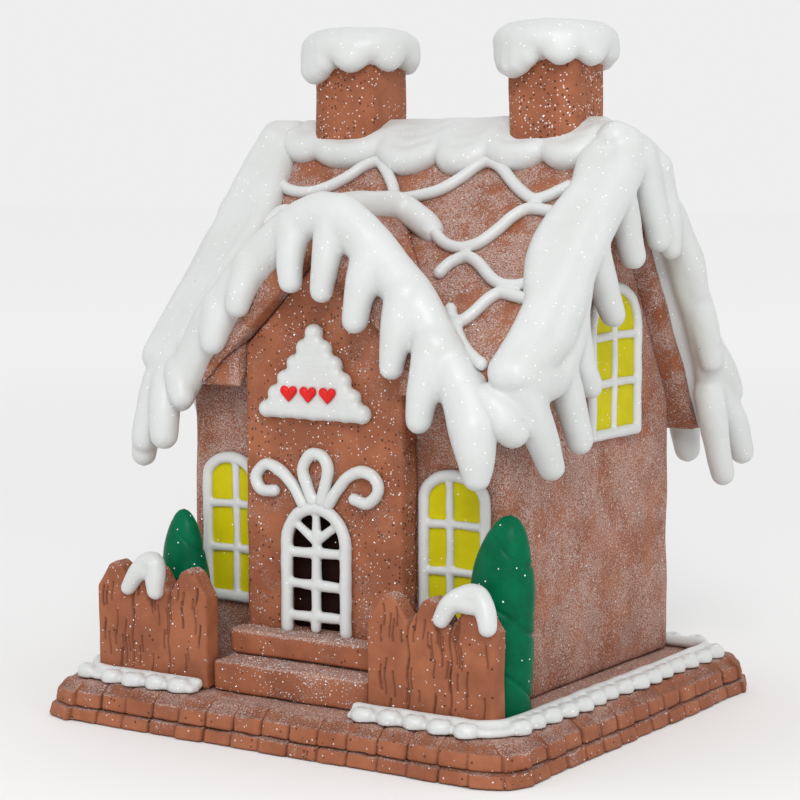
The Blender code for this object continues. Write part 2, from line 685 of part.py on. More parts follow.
def porch_snow():
    """Band over the cross gable's edge, its drips, and the ridge run that ends on the main roof."""
    y = -46.3
    band = [(-46, y, 95, 4.6), (-42.5, y, 101.5, 5.5), (-34.7, y, 114, 6), (-20, y, 130.5, 6), (-8, y, 141, 6),
            (2, y, 145.3, 6), (10, y, 145, 6), (15.4, y, 141, 6), (31, y, 125.5, 6), (45, y, 106, 6.5),
            (53, -48, 97.5, 7.5), (55.2, -50, 87, 5.8), (55.5, -51, 76, 3.4)]
    tips = [(-44, 102, -43, 93.2), (-28, 120, -31.6, 109), (-17, 131, -22.4, 119.7), (-6, 138, -4.4, 126.6),
            (7, 138, 6.2, 124.4), (24, 128, 17.4, 116.6), (35, 117, 29.3, 104.3), (42, 105, 38.4, 90.2)]
    drips = [finger((x, -48, z), (tip_x, -51, tip_z)) for x, z, tip_x, tip_z in tips]
    run = [(3, -44, 147, 5), (2, -24, 148, 4.8), (5, -9, 147.5, 5), (15, -9, 142.5, 4.4)]
    return [band, run] + drips


def rake_snow(side):
    """Blanket along one end of the main roof, both slopes, with drips that hang past the gable wall."""
    def place(x):
        return x if side > 0 else BODY_X[0] / MM + BODY_X[1] / MM - x

    ridge = RIDGE_Z / MM
    lines = (55.5, 60, 64) if side > 0 else (52, 56, 59)
    chains = []
    for x in lines:
        chains.append([(place(x), -43, 106.8, 4.6), (place(x), 20, ridge + 0.4, 4.6), (place(x), 72, 83.5, 4.6)])
    hang = [((64, -22, 122), (66, -13.5, 82)), ((64.5, -14, 131), (66.5, -8, 97.5)),
            ((65, -6, 140), (66.5, 5, 116.5)), ((65.5, 7, 150), (67, 15.5, 132)),
            ((67, 22, 160), (69.5, 25, 136.8)), ((69, 29, 154), (71, 31.5, 134)),
            ((69, 41, 142), (73, 49, 120.5)), ((69, 52, 124), (73, 56.5, 99.2)),
            ((67, 61, 106), (73, 72, 89)), ((65, 70, 92), (70, 82, 68.8)),
            ((62, 71, 90), (67, 75, 64)), ((51, 73, 86), (50.5, 78.6, 72.6))]
    chains += [finger((place(a[0]), *a[1:]), (place(b[0]), *b[1:])) for a, b in hang]
    proud = [(65, 22, 166, 5.5), (67, 31, 157, 6.5), (68, 43, 142, 6.5), (68, 54, 124, 6.5), (67, 64, 105, 6),
             (64, 71, 92, 5.5)]
    chains.append([(place(x), y, z, r) for x, y, z, r in proud])
    if side > 0:
        chains.append([(61, -44, 104, 7), (62, -43, 96, 7), (64, -35, 89, 5.2), (66, -28.6, 77.2, 3.7)])
    else:
        chains.append([(-55, -43, 103, 6), (-58, -46, 96, 5.4), (-60, -50, 80, 3.7)])
        chains.append(finger((-58, -41, 98), (-62, -45.5, 74.2)))
        chains.append(finger((-53, -44, 100), (-52.4, -52, 80.4)))
    return chains


def ridge_snow():
    """Snow along the ridge with rounded lobes on both slopes, given as (X, reach down the slope)."""
    chains = []
    steep = math.atan(BACK_SLOPE)
    for reach in (-6.5, 0, 6.5):
        y = 20 + reach * (math.cos(steep) if reach > 0 else math.cos(math.pi / 4))
        z = 170.4 - abs(reach) * (math.sin(steep) if reach > 0 else math.sin(math.pi / 4))
        chains.append([(-48, y, z, 4.4), (52, y, z, 4.4)])
    chains.append([(-48, 9.8, 163.6, 4.6), (52, 9.8, 163.6, 4.6)])
    for x, reach in ((-45, 9), (-34, 12.8), (-25, 12.8), (-3, 14.4), (15, 14.4), (34, 13), (49, 11.5)):
        for way, lean in ((-1, math.pi / 4), (1, steep)):
            y = 20 + way * reach * math.cos(lean)
            z = 170.4 - reach * math.sin(lean)
            chains.append([(x - 3, y, z, 5.2), (x + 3, y, z, 5.2)])
            chains.append([(x, (y + 20) / 2, (z + 170.4) / 2, 5)])
    return chains


def cap_snow(x):
    """Cap of a chimney: a low dome whose skirt ends in lobes."""
    y = RIDGE_Y / MM
    top = CAP_TOP / MM
    chains = [[(x - 7, y - 6, top - 6.6, 6.6), (x + 7, y - 6, top - 6.6, 6.6), (x + 7, y + 6, top - 6.6, 6.6),
               (x - 7, y + 6, top - 6.6, 6.6), (x - 7, y, top - 6.6, 6.6)], [(x, y, top - 7, 7)]]
    for k in range(9):
        a = 2 * math.pi * (k + 0.3) / 9
        across, along = math.cos(a), math.sin(a)
        chains.append([(x + 10 * across, y + 10 * along, top - 7.5, 5.5),
                       (x + 14.6 * across, y + 14.6 * along, top - 12, 4.4)])
    return chains


def snow(group, cutters):
    fineness = 1.5 * MM
    roof = roof_shadow("below_snow", ROOF_FRONT[0] - GAP, cutters)
    gable = gable_shadow("below_porch_snow", cutters)
    porch_chains = porch_snow()
    piece = beads("porch_snow", porch_chains, ICING, group, fineness, 690)
    cut(piece, roof, "roof")
    cut(piece, gable, "gable")
    kept_off = as_cutter(beads("beside_porch_snow", porch_chains, ICING, cutters, fineness, 900, grow=1.0 * MM))
    for side, name in ((-1, "rake_snow_left"), (1, "rake_snow_right")):
        piece = beads(name, rake_snow(side), ICING, group, fineness, 490)
        cut(piece, roof, "roof")
        cut(piece, kept_off, "porch_snow")
    chimney_room = []
    for side, x in zip(("left", "right"), CHIMNEY_X):
        half = CHIMNEY_SIZE / 2 + GAP
        ring = rounded_box(half, half, CHIMNEY_ROUND, 3, (x, RIDGE_Y))
        room = as_cutter(outline("chimney_room_" + side, [ring], 0, CHIMNEY_TOP + GAP, ICING, cutters))
        chimney_room.append(room)
        cut(beads("chimney_cap_" + side, cap_snow(x / MM), ICING, group, fineness, 160), room)
    piece = beads("ridge_snow", ridge_snow(), ICING, group, fineness, 210)
    cut(piece, roof, "roof")
    for room in chimney_room:
        cut(piece, room)
    for side in (-1, 1):
        keep = as_cutter(beads("beside_rake_" + str(side), rake_snow(side), ICING, cutters, fineness, 600,
                               grow=1.4 * MM))
        cut(piece, keep)


def icing_lines(group):
    """Wavy ropes across both slopes of the main roof, stopped at the cross gable."""
    radius = LINE_WIDTH / 2
    lift = radius + GAP
    steep = math.atan(FRONT_SLOPE)
    for k, (middle, swing, crest, period) in enumerate(FRONT_LINES):
        sides = {"left": [], "right": []}
        for i in range(LINE_STEPS + 1):
            x = LINE_X[0] + (LINE_X[1] - LINE_X[0]) * i / LINE_STEPS
            y = middle + swing * math.cos(2 * math.pi * (x - crest) / period)
            valley = (GABLE_Z - front_top(y)) / GABLE_SLOPE
            if valley < 0 or abs(x) > valley + LINE_SPACE:
                spot = (x, y - lift * math.sin(steep), front_top(y) + lift * math.cos(steep))
                sides["right" if x > 0 and k else "left"].append(spot)
        for side, route in sides.items():
            if len(route) > 1:
                rope("icing_line_front_%d_%s" % (k + 1, side) if k else "icing_line_front_1", route, radius,
                     ICING, group)
    steep = math.atan(BACK_SLOPE)
    for k, (middle, swing, crest, period) in enumerate(BACK_LINES):
        route = []
        for i in range(LINE_STEPS + 1):
            x = LINE_X[0] + (LINE_X[1] - LINE_X[0]) * i / LINE_STEPS
            y = middle + swing * math.cos(2 * math.pi * (x - crest) / period)
            route.append((x, y + lift * math.sin(steep), back_top(y) + lift * math.cos(steep)))
        rope("icing_line_back_%d" % (k + 1), route, radius, ICING, group)


def build():
    clear_scene()
    group = collection("gingerbread_house")
    cutters = collection("cutters")
    slab(group)
    rim(group)
    house_body(group)
    main_roof(group, cutters)
    porch(group, cutters)
    steps(group)
    chimneys(group, cutters)
    windows(group)
    door(group)
    sign(group)
    fences(group, cutters)
    trees(group)
    snow(group, cutters)
    icing_lines(group)


build()
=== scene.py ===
"""Looks of the gingerbread house ornament: piped icing, draped snow, soft clay walls, frost and glitter."""
import math

import bmesh
import bpy
import numpy as np
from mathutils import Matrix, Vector, noise


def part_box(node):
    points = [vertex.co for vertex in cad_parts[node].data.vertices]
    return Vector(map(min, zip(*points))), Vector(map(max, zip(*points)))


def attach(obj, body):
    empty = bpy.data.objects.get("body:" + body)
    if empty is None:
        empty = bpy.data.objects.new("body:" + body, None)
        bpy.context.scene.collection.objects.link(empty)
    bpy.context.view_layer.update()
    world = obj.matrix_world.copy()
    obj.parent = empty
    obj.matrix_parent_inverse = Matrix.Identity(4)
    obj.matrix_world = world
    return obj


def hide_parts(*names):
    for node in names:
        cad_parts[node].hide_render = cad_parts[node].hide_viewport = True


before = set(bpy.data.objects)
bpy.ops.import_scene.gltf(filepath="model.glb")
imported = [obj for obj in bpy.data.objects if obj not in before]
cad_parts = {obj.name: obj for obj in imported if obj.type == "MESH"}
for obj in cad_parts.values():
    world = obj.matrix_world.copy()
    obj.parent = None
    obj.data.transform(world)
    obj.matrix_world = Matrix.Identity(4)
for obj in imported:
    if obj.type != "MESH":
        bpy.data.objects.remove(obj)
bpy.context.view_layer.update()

bl_info = {
    "name": "Gingerbread House Looks",
    "version": (1, 0, 0),
    "blender": (4, 5, 0),
    "location": "View3D > Sidebar > Gingerbread",
    "description": "Builds the icing, snow, clay walls, frost and glitter of a gingerbread house ornament",
    "category": "Add Mesh",
}

MM = 0.001
BODY_LOW, BODY_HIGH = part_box("house_body")
PORCH_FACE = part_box("porch_front")[0].y / MM
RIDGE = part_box("roof_front")[1] / MM
FRONT_SLOPE = 1.0
BACK_SLOPE = 1.72
BEAD_SPACING = 0.4          # between the middles of neighbouring beads, as a share of their radius
WELD = 0.000005             # points of a CAD node closer than this are one

SPECK_DARK = (0.05, 0.014, 0.01)
SPECK_BRIGHT = (0.85, 0.75, 0.72)
# painted shade: darkens the clay in carved grooves and where bricks meet
CARVED_SHADE = (0.06, 0.018, 0.01)
ICING_SHADE = (0.955, 0.955, 0.945)
ICING_SPARKLE = (0.98, 0.98, 1.0)
PAINT_SPARKLE = (0.9, 0.92, 0.85)


# ---------------------------------------------------------------- sizes and colours

def length(name, description, default):
    return bpy.props.FloatProperty(name=name, description=description, default=default, unit="LENGTH")


def tint(name, description, default):
    return bpy.props.FloatVectorProperty(name=name, description=description, default=default, subtype="COLOR",
                                         size=3, min=0, max=1)


class HouseSizes(bpy.types.PropertyGroup):
    snow_grain: length("Snow fineness", "Face size of the draped snow", 0.0008)
    icing_grain: length("Icing fineness", "Face size of the piped icing", 0.00042)
    clay_grain: length("Clay fineness", "Face size of the clay walls and roofs", 0.0013)
    window_rope: length("Window icing", "Width of the icing round the windows", 0.0034)
    line_rope: length("Roof icing", "Width of the wavy icing on the roof", 0.0037)
    flake: length("Glitter flake", "Width of a glitter flake", 0.00055)
    frost_grain: length("Frost grain", "Width of a grain of frost", 0.00042)


class HouseColours(bpy.types.PropertyGroup):
    clay: tint("Gingerbread", "Colour of the gingerbread clay", (0.36, 0.125, 0.06))
    clay_dark: tint("Baked gingerbread", "Darker patches of the clay", (0.265, 0.086, 0.042))
    icing: tint("Icing", "Colour of the icing and the snow", (0.63, 0.645, 0.64))
    frost: tint("Frost", "Colour of the frost on the clay", (0.66, 0.53, 0.49))
    pane: tint("Panes", "Colour of the window panes", (0.60, 0.53, 0.004))
    leaf: tint("Trees", "Colour of the trees", (0.002, 0.135, 0.058))
    motif: tint("Hearts", "Colour of the hearts on the plaque", (0.72, 0.012, 0.01))
    # painted shade: the near-black sheet behind the door lattice stands for the shade inside the hollow house
    dark: tint("Doorway", "Colour behind the door lattice", (0.022, 0.008, 0.006))


def sizes():
    return bpy.context.scene.house_sizes


def colours():
    return bpy.context.scene.house_colours


# ---------------------------------------------------------------- shader groups and materials

def new_group(name, inputs, outputs):
    group = bpy.data.node_groups.new(name, "ShaderNodeTree")
    for label, value in inputs:
        socket = group.interface.new_socket(label, in_out="INPUT", socket_type="NodeSocketFloat")
        socket.default_value = value
    for label in outputs:
        group.interface.new_socket(label, in_out="OUTPUT", socket_type="NodeSocketFloat")
    return group, group.nodes.new("NodeGroupInput"), group.nodes.new("NodeGroupOutput")


def feed(tree, node, inputs):
    """Fills inputs of a node, by name or number: a socket is linked and anything else is a value."""
    for label, value in inputs.items():
        if isinstance(value, bpy.types.NodeSocket):
            tree.links.new(value, node.inputs[label])
        else:
            node.inputs[label].default_value = value
    return node


def add_node(tree, kind, inputs, **settings):
    node = tree.nodes.new("ShaderNode" + kind)
    for label, value in settings.items():
        setattr(node, label, value)
    return feed(tree, node, inputs)


def maths(tree, operation, first, second):
    return add_node(tree, "Math", {0: first, 1: second}, operation=operation).outputs[0]


def cloud(tree, scale, detail=2.0, roughness=0.5):
    """Noise over the object's own coordinates; scale is a number or a socket, in features a metre."""
    place = tree.nodes.new("ShaderNodeTexCoord").outputs["Object"]
    inputs = {"Vector": place, "Scale": scale, "Detail": detail, "Roughness": roughness}
    return add_node(tree, "TexNoise", inputs).outputs["Fac"]


def step_between(tree, value, low, high):
    inputs = {"Value": value, "From Min": low, "From Max": high}
    return add_node(tree, "MapRange", inputs, interpolation_type="SMOOTHSTEP").outputs["Result"]


def clay_grain_group(name):
    """Tone and height of hand-rolled clay: broad patches, thumb marks and a fine tooth."""
    group, given, out = new_group(name, (("Patches", 90.0), ("Tooth", 2200.0)), ("Tone", "Height"))
    patches = cloud(group, given.outputs["Patches"], 3.0, 0.6)
    marks = cloud(group, 330.0)
    tooth = cloud(group, given.outputs["Tooth"])
    height = maths(group, "ADD", maths(group, "MULTIPLY", marks, 0.6), maths(group, "MULTIPLY", tooth, 0.4))
    feed(group, out, {"Tone": step_between(group, patches, 0.32, 0.68), "Height": height})
    return group


def frost_group(name):
    """Mask and height of frost: fine grains that gather in patches and on what faces up."""
    group, given, out = new_group(name, (("Amount", 0.5), ("Patches", 60.0), ("Contrast", 1.3),
                                         ("Grain", 2300.0), ("Lying", 0.3)), ("Mask", "Height"))
    normal = group.nodes.new("ShaderNodeNewGeometry").outputs["Normal"]
    upward = add_node(group, "SeparateXYZ", {0: normal}).outputs["Z"]
    lying = maths(group, "MULTIPLY", maths(group, "MAXIMUM", upward, 0.0), given.outputs["Lying"])
    patches = cloud(group, given.outputs["Patches"], 4.0, 0.65)
    spread = maths(group, "MULTIPLY", patches, given.outputs["Contrast"])
    level = maths(group, "ADD", maths(group, "ADD", spread, lying),
                  maths(group, "SUBTRACT", given.outputs["Amount"], 1.15))
    grains = cloud(group, given.outputs["Grain"], 2.0, 0.8)
    gathered = maths(group, "MULTIPLY", maths(group, "MINIMUM", level, 0.16), 0.55)
    mask = step_between(group, maths(group, "ADD", grains, gathered), 0.52, 0.64)
    feed(group, out, {"Mask": mask, "Height": maths(group, "MULTIPLY", mask, grains)})
    return group


def speck_group(name):
    """Mask of scattered specks of one size; Share is the part of the cells that hold one."""
    group, given, out = new_group(name, (("Cells", 800.0), ("Share", 0.1), ("Radius", 0.3)), ("Mask",))
    place = group.nodes.new("ShaderNodeTexCoord").outputs["Object"]
    cells = add_node(group, "TexVoronoi", {"Vector": place, "Scale": given.outputs["Cells"]})
    pick = add_node(group, "SeparateColor", {0: cells.outputs["Color"]}).outputs[0]
    chosen = maths(group, "LESS_THAN", pick, given.outputs["Share"])
    near = maths(group, "LESS_THAN", cells.outputs["Distance"], given.outputs["Radius"])
    feed(group, out, {"Mask": maths(group, "MULTIPLY", chosen, near)})
    return group


GROUPS = {"Clay grain": clay_grain_group, "Frost dusting": frost_group, "Specks": speck_group}


def placed_group(tree, name, **values):
    """A node of one of the shader groups, which is built when it is first asked for."""
    group = bpy.data.node_groups.get(name) or GROUPS[name](name)
    return add_node(tree, "Group", values, node_tree=group).outputs


def blend_colour(tree, factor, first, second):
    """Mix of two colours; each is a socket or three numbers."""
    first, second = (end if isinstance(end, bpy.types.NodeSocket) else (*end, 1) for end in (first, second))
    return add_node(tree, "Mix", {"Factor": factor, 6: first, 7: second}, data_type="RGBA").outputs[2]


def base_material(name):
    made = bpy.data.materials.new(name)
    made.use_nodes = True
    return made, made.node_tree, made.node_tree.nodes["Principled BSDF"]


def made_once(build):
    """A material builder that gives back the material of that name when there is one already."""
    def find(name, *given, **named):
        return bpy.data.materials.get(name) or build(name, *given, **named)
    return find


def surfaced(tree, shader, colour, rough, bright, shine, height, distance, strength):
    """Colour, roughness that falls by shine where the mask bright is, and the bumps of a material."""
    lift = add_node(tree, "Bump", {"Height": height, "Distance": distance, "Strength": strength})
    roughness = maths(tree, "SUBTRACT", rough, maths(tree, "MULTIPLY", bright, shine))
    feed(tree, shader, {"Base Color": colour, "Roughness": roughness, "Normal": lift.outputs["Normal"]})


@made_once
def gingerbread(name, frost, lying=0.3, specks=0.1, patches=60.0, contrast=1.3):
    """Brown dough clay: baked patches, dark and bright specks, frost, and painted shade where the mesh is
    carved.
    """
    made, tree, shader = base_material(name)
    grain = placed_group(tree, "Clay grain")
    dusting = placed_group(tree, "Frost dusting", Amount=frost, Lying=lying, Patches=patches,
                           Contrast=contrast)
    carved = add_node(tree, "Attribute", {}, attribute_name="carved").outputs["Fac"]
    dark = placed_group(tree, "Specks", Cells=900.0, Share=specks, Radius=0.34)["Mask"]
    bright = placed_group(tree, "Specks", Cells=1300.0, Share=specks * 0.5, Radius=0.32)["Mask"]
    colour = blend_colour(tree, grain["Tone"], colours().clay_dark, colours().clay)
    # dark specks, frost, bright specks, and painted shade where the mesh is carved
    for mask, share, over in ((dark, 0.75, SPECK_DARK), (dusting["Mask"], 0.66, colours().frost),
                              (bright, 0.8, SPECK_BRIGHT), (carved, 0.85, CARVED_SHADE)):
        colour = blend_colour(tree, maths(tree, "MULTIPLY", mask, share), colour, over)
    height = maths(tree, "ADD", grain["Height"], maths(tree, "MULTIPLY", dusting["Height"], 0.9))
    surfaced(tree, shader, colour, 0.62, bright, 0.35, height, 0.0003, 0.75)
    feed(tree, shader, {"Specular IOR Level": 0.2})
    return made


@made_once
def icing(name, sparkle=0.02, rough=0.4, glow=0.12):
    """White clay icing: satin, slightly see-through at the surface, with faint tone and sparse sparkles."""
    made, tree, shader = base_material(name)
    grain = placed_group(tree, "Clay grain", Patches=70.0, Tooth=1500.0)
    bright = placed_group(tree, "Specks", Cells=1500.0, Share=sparkle, Radius=0.34)["Mask"]
    shade = tuple(part * share for part, share in zip(colours().icing, ICING_SHADE))
    colour = blend_colour(tree, grain["Tone"], shade, colours().icing)
    colour = blend_colour(tree, bright, colour, ICING_SPARKLE)
    surfaced(tree, shader, colour, rough, bright, 0.3, grain["Height"], 0.0002, 0.35)
    feed(tree, shader, {"Subsurface Weight": glow, "Subsurface Radius": (1.0, 0.9, 0.8),
                        "Subsurface Scale": 0.0015, "Coat Weight": 0.12, "Coat Roughness": 0.3})
    return made


@made_once
def painted(name, colour, dark_share, rough, gloss, tooth=1800.0, frost=-0.3):
    """Coloured clay or paint with uneven tone, a fine tooth and a few sparkles."""
    made, tree, shader = base_material(name)
    grain = placed_group(tree, "Clay grain", Patches=140.0, Tooth=tooth)
    dusting = placed_group(tree, "Frost dusting", Amount=frost, Lying=0.25, Patches=90.0)
    bright = placed_group(tree, "Specks", Cells=1300.0, Share=0.015, Radius=0.3)["Mask"]
    mixed = blend_colour(tree, grain["Tone"], tuple(part * dark_share for part in colour), colour)
    mixed = blend_colour(tree, maths(tree, "MULTIPLY", dusting["Mask"], 0.5), mixed, colours().frost)
    mixed = blend_colour(tree, bright, mixed, PAINT_SPARKLE)
    surfaced(tree, shader, mixed, rough, bright, 0.3, grain["Height"], 0.00025, 0.5)
    feed(tree, shader, {"Specular IOR Level": gloss})
    return made


def grain_material(name, scale, low, high, rough, rough_spread, metal):
    """Flakes or grains whose tone and roughness differ from place to place."""
    made, tree, shader = base_material(name)
    tone = step_between(tree, cloud(tree, scale, 1.0), 0.3, 0.7)
    roughness = maths(tree, "ADD", maths(tree, "MULTIPLY", tone, rough_spread), rough)
    feed(tree, shader, {"Base Color": blend_colour(tree, tone, low, high), "Roughness": roughness,
                        "Metallic": metal})
    return made


# ---------------------------------------------------------------- modelling helpers

def deselect():
    for thing in bpy.context.selected_objects:
        thing.select_set(False)


def activate(thing):
    deselect()
    thing.select_set(True)
    bpy.context.view_layer.objects.active = thing


def apply_modifiers(thing):
    activate(thing)
    for name in [step.name for step in thing.modifiers]:
        bpy.ops.object.modifier_apply(modifier=name)


def linked(name, data):
    thing = bpy.data.objects.new(name, data)
    bpy.context.scene.collection.objects.link(thing)
    return thing


def new_object(name, points, faces):
    mesh = bpy.data.meshes.new(name)
    mesh.from_pydata(points, [], faces)
    mesh.update()
    return linked(name, mesh)


def taken_from(thing):
    """Points and faces of an object, which is removed again."""
    points = np.array([vert.co[:] for vert in thing.data.vertices])
    faces = [tuple(face.vertices) for face in thing.data.polygons]
    bpy.data.objects.remove(thing, do_unlink=True)
    return points, faces


def copies(name, points, faces, placements):
    """One mesh of many copies: each placement is (3x3 matrix, offset)."""
    all_points = []
    all_faces = []
    for k, (turn, offset) in enumerate(placements):
        all_points.append(points @ np.array(turn).T + np.array(offset))
        all_faces += [tuple(i + k * len(points) for i in face) for face in faces]
    return new_object(name, np.concatenate(all_points).tolist(), all_faces)


def spots_along(chain):
    spots = [tuple(chain[0])]
    for a, b in zip(chain, chain[1:]):
        apart = math.dist(a[:3], b[:3])
        count = max(1, math.ceil(apart / (BEAD_SPACING * min(a[3], b[3]))))
        spots += [tuple(a[k] + (b[k] - a[k]) * i / count for k in range(4)) for i in range(1, count + 1)]
    return spots


def curved(points, per_span=4):
    """Smooth chain through points given as tuples of any length."""
    padded = [points[0], *points, points[-1]]
    route = []
    for p0, p1, p2, p3 in zip(padded, padded[1:], padded[2:], padded[3:]):
        for k in range(per_span):
            t = k / per_span
            route.append(tuple(0.5 * (2 * b + (c - a) * t + (2 * a - 5 * b + 4 * c - d) * t ** 2
                                      + (3 * b - a - 3 * c + d) * t ** 3)
                               for a, b, c, d in zip(p0, p1, p2, p3)))
    route.append(tuple(points[-1]))
    return route


def remelted(thing, grain, calm):
    """Runs a piece together on a grid of the given grain and smooths it calm times."""
    melt = thing.modifiers.new("melt", "REMESH")
    melt.mode = "VOXEL"
    melt.voxel_size = grain
    settle = thing.modifiers.new("settle", "SMOOTH")
    settle.factor = 0.5
    settle.iterations = calm
    apply_modifiers(thing)
    return thing


def melted(name, chains, grain, calm, flatten=None):
    """Icing run together from beads along chains of (x, y, z, radius) in millimetres.

    flatten is (axis index, level in millimetres, factor) and presses the beads towards a wall.
    """
    deselect()
    bpy.ops.mesh.primitive_ico_sphere_add(subdivisions=2, radius=1.0)
    points, faces = taken_from(bpy.context.active_object)
    thing = copies(name, points, faces, [(np.eye(3) * r * MM, (x * MM, y * MM, z * MM))
                                         for chain in chains for x, y, z, r in spots_along(chain)])
    if flatten:
        axis, level, factor = flatten
        for vert in thing.data.vertices:
            vert.co[axis] = level * MM + (vert.co[axis] - level * MM) * factor
    return remelted(thing, grain, calm)


def softened(name, node, grain, swell=0.0):
    """Soft-edged copy of a CAD node, as hand-cut clay has, blown up by swell."""
    work = bmesh.new()
    work.from_mesh(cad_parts[node].data)
    bmesh.ops.remove_doubles(work, verts=work.verts, dist=WELD)
    mesh = bpy.data.meshes.new(name)
    work.to_mesh(mesh)
    work.free()
    thing = remelted(linked(name, mesh), grain, 2)
    if swell:
        along_normals(thing, lambda place, normal: swell)
    return thing


def along_normals(thing, amount):
    """Moves each point along its normal by amount(place, normal), in metres."""
    mesh = thing.data
    count = len(mesh.vertices)
    points = np.empty(count * 3, np.float32)
    normals = np.empty(count * 3, np.float32)
    mesh.vertices.foreach_get("co", points)
    mesh.vertex_normals.foreach_get("vector", normals)
    points = points.reshape(-1, 3)
    normals = normals.reshape(-1, 3)
    moves = np.array([amount(p, n) for p, n in zip(points, normals)], np.float32)
    mesh.vertices.foreach_set("co", (points + normals * moves[:, None]).ravel())
    mesh.update()


def mark_carved(thing, values):
    """Stores how deep each point is carved, from 0 to 1, for the clay's material to darken as painted shade.
    """
    layer = thing.data.attributes.new("carved", "FLOAT", "POINT")
    layer.data.foreach_set("value", np.asarray(values, np.float32))


def lumpy(thing, size, depth, shift):
    """Gentle hand-made unevenness: lumps of a size, in metres, by up to a depth."""
    offset = Vector((shift, shift * 0.7, -shift))
    along_normals(thing, lambda place, normal: depth * noise.noise(Vector(place.tolist()) / size + offset))


def raised_to(thing, level):
    """Nothing of a piece reaches below a level."""
    for vert in thing.data.vertices:
        vert.co.z = max(vert.co.z, level)


def coloured(thing, finish):
    thing.data.materials.clear()
    thing.data.materials.append(finish)


def done(thing, finish, slot, *nodes):
    """A finished piece: smooth shaded, with its material, riding on the house in place of its CAD nodes."""
    coloured(thing, finish)
    thing.data.shade_smooth()
    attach(thing, "root")
    if nodes:
        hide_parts(*nodes)
    return thing


def piped(name, chains, lumps, *nodes, calm=3, flatten=None):
    """A finished piece of piped icing; lumps is the (size, depth, shift) of its unevenness."""
    thing = melted(name, chains, sizes().icing_grain, calm, flatten)
    if lumps:
        lumpy(thing, *lumps)
    return done(thing, icing("piped icing"), "white_icing_clay", *nodes)


def nodes_named(*starts):
    return [node for node in sorted(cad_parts) if node.startswith(starts)]


def front_plane(y, lift=0.0):
    """Height of the front slope over y, in millimetres, with a lift square to the slope."""
    return RIDGE.z - FRONT_SLOPE * (RIDGE.y - y) + lift * math.sqrt(2)


def back_plane(y):
    return RIDGE.z - BACK_SLOPE * (y - RIDGE.y)


# ---------------------------------------------------------------- draped snow
# Tables of (x, y) or (x, y, z, radius) in millimetres. SNOW_ENDS and RAKE tables stand at the right end
# and are mirrored for the left one.

RIGHT_SNOW_EDGE = ((58, 16), (57.2, 8.4), (58.6, 1), (57.2, -4.5), (55.2, -10.4), (55.6, -17.6), (58.6, -24),
                   (61.6, -29.5), (62, -34), (62, -40), (61.4, -45))
LEFT_SNOW_EDGE = ((58.8, 16.5), (57.4, 11), (54.2, 4.2), (51.7, -3.3), (50.7, -11.3), (51.4, -25),
                  (52.2, -43))
MIRROR_SUM = 4.6            # the left end's snow stands at this less the x of the right end's
SNOW_ENDS = {       # inner edge, outer x, how far the crown is below the ridge, how gently it falls off
    1: (RIGHT_SNOW_EDGE, 64.2, 3.4, 1),
    -1: (LEFT_SNOW_EDGE, 63.4, 2.2, 3),
}
RAKE_SHEETS = (     # the blanket's outer face, then its edge down the back slope
    ((66, -30, 113, 4.8), (66, -10, 135, 4.8), (66, 8, 152.6, 5), (65.6, 19, 161, 5.4)),
    ((65.2, -4, 143, 5), (65.2, 6, 153, 5.4), (64.4, 15, 162, 5.4)),
    ((61.5, 13, 165.6, 5.2), (63, 17, 164, 5.4), (64.5, 23, 161.4, 5.4), (65.5, 26.4, 158.4, 5.2),
     (66, 30.5, 152.6, 5), (66.5, 34.6, 145.8, 4.7), (67, 40.6, 136.2, 4.5), (67.4, 45.4, 127.6, 4.4),
     (67.8, 50.2, 118.2, 4.2), (68, 56.4, 107, 4), (67.6, 63, 95, 4.2), (67, 69.6, 84.4, 4.4)),
)
RAKE_DRIPS = (
    ((65.6, -24, 104, 5), (66, -18.6, 92, 4.2), (66.4, -14.8, 82.9, 3.6)),
    ((66, -18, 117, 4.8), (66, -14.3, 106, 4), (66.4, -9.1, 97.7, 3.5)),
    ((66, -8, 137, 5), (66, -2.4, 127, 4.2), (66.4, 3.8, 116.5, 3.6)),
    ((66, 7, 150, 5), (66, 12, 141.3, 4.4), (66.4, 15.6, 132.5, 3.6)),
    ((66.4, 19, 159, 5.6), (67.6, 22.8, 150, 4.6), (68.4, 27.6, 136.9, 3.6)),
    ((67, 27, 157, 5.4), (69, 31.4, 144, 4.1), (69.6, 32.7, 134.3, 3.4)),
    ((67.4, 36, 144, 4.8), (69.4, 44, 131, 4.4), (70, 48.6, 121, 3.6)),
    ((68.4, 49, 122, 4.4), (70.4, 53.6, 110, 4.2), (71, 56.6, 100.3, 3.6)),
    ((68.4, 59, 106, 4.4), (70.2, 66.6, 96.4, 4), (70.8, 71.6, 90, 3.5)),
    ((68, 67, 91, 4.6), (70, 74.4, 80.4, 4.4), (70.8, 79.4, 70.8, 3.8)),
    ((67.6, 63, 90, 4.8), (69.4, 62.6, 80, 4.4), (70.2, 66.8, 65.4, 3.6)),
    ((53, 73, 90, 5), (52, 77.4, 77, 4.6), (52, 79.6, 70, 3.9)),
)
RIGHT_SKIRT = ((64, -43, 104, 6), (65, -37, 101, 6), (65.6, -29, 101.4, 5.2), (66, -22.5, 108, 5),
               (66, -18.6, 116, 4.8), (66, -15.4, 129.4, 4.6))
RIGHT_PALM = ((64, -41, 106, 6), (65, -34, 109, 6), (65.6, -27, 112.5, 5.6), (66, -21, 121, 5.2),
              (66, -14, 131.4, 4.8))
RIGHT_DRIP = ((63.6, -42, 100, 5.6), (65.2, -35, 88, 4.8), (65.8, -29.4, 77.6, 3.7))
RIGHT_BRIDGE = ((54, -47, 97, 4.6), (58.4, -46.6, 94.6, 5), (61, -46, 91, 5.2), (62.4, -44, 88.4, 4.6))
LEFT_BRIDGE = ((-50.5, -42, 106, 5), (-52, -44.5, 102, 4.8), (-55, -44, 101, 4.8))
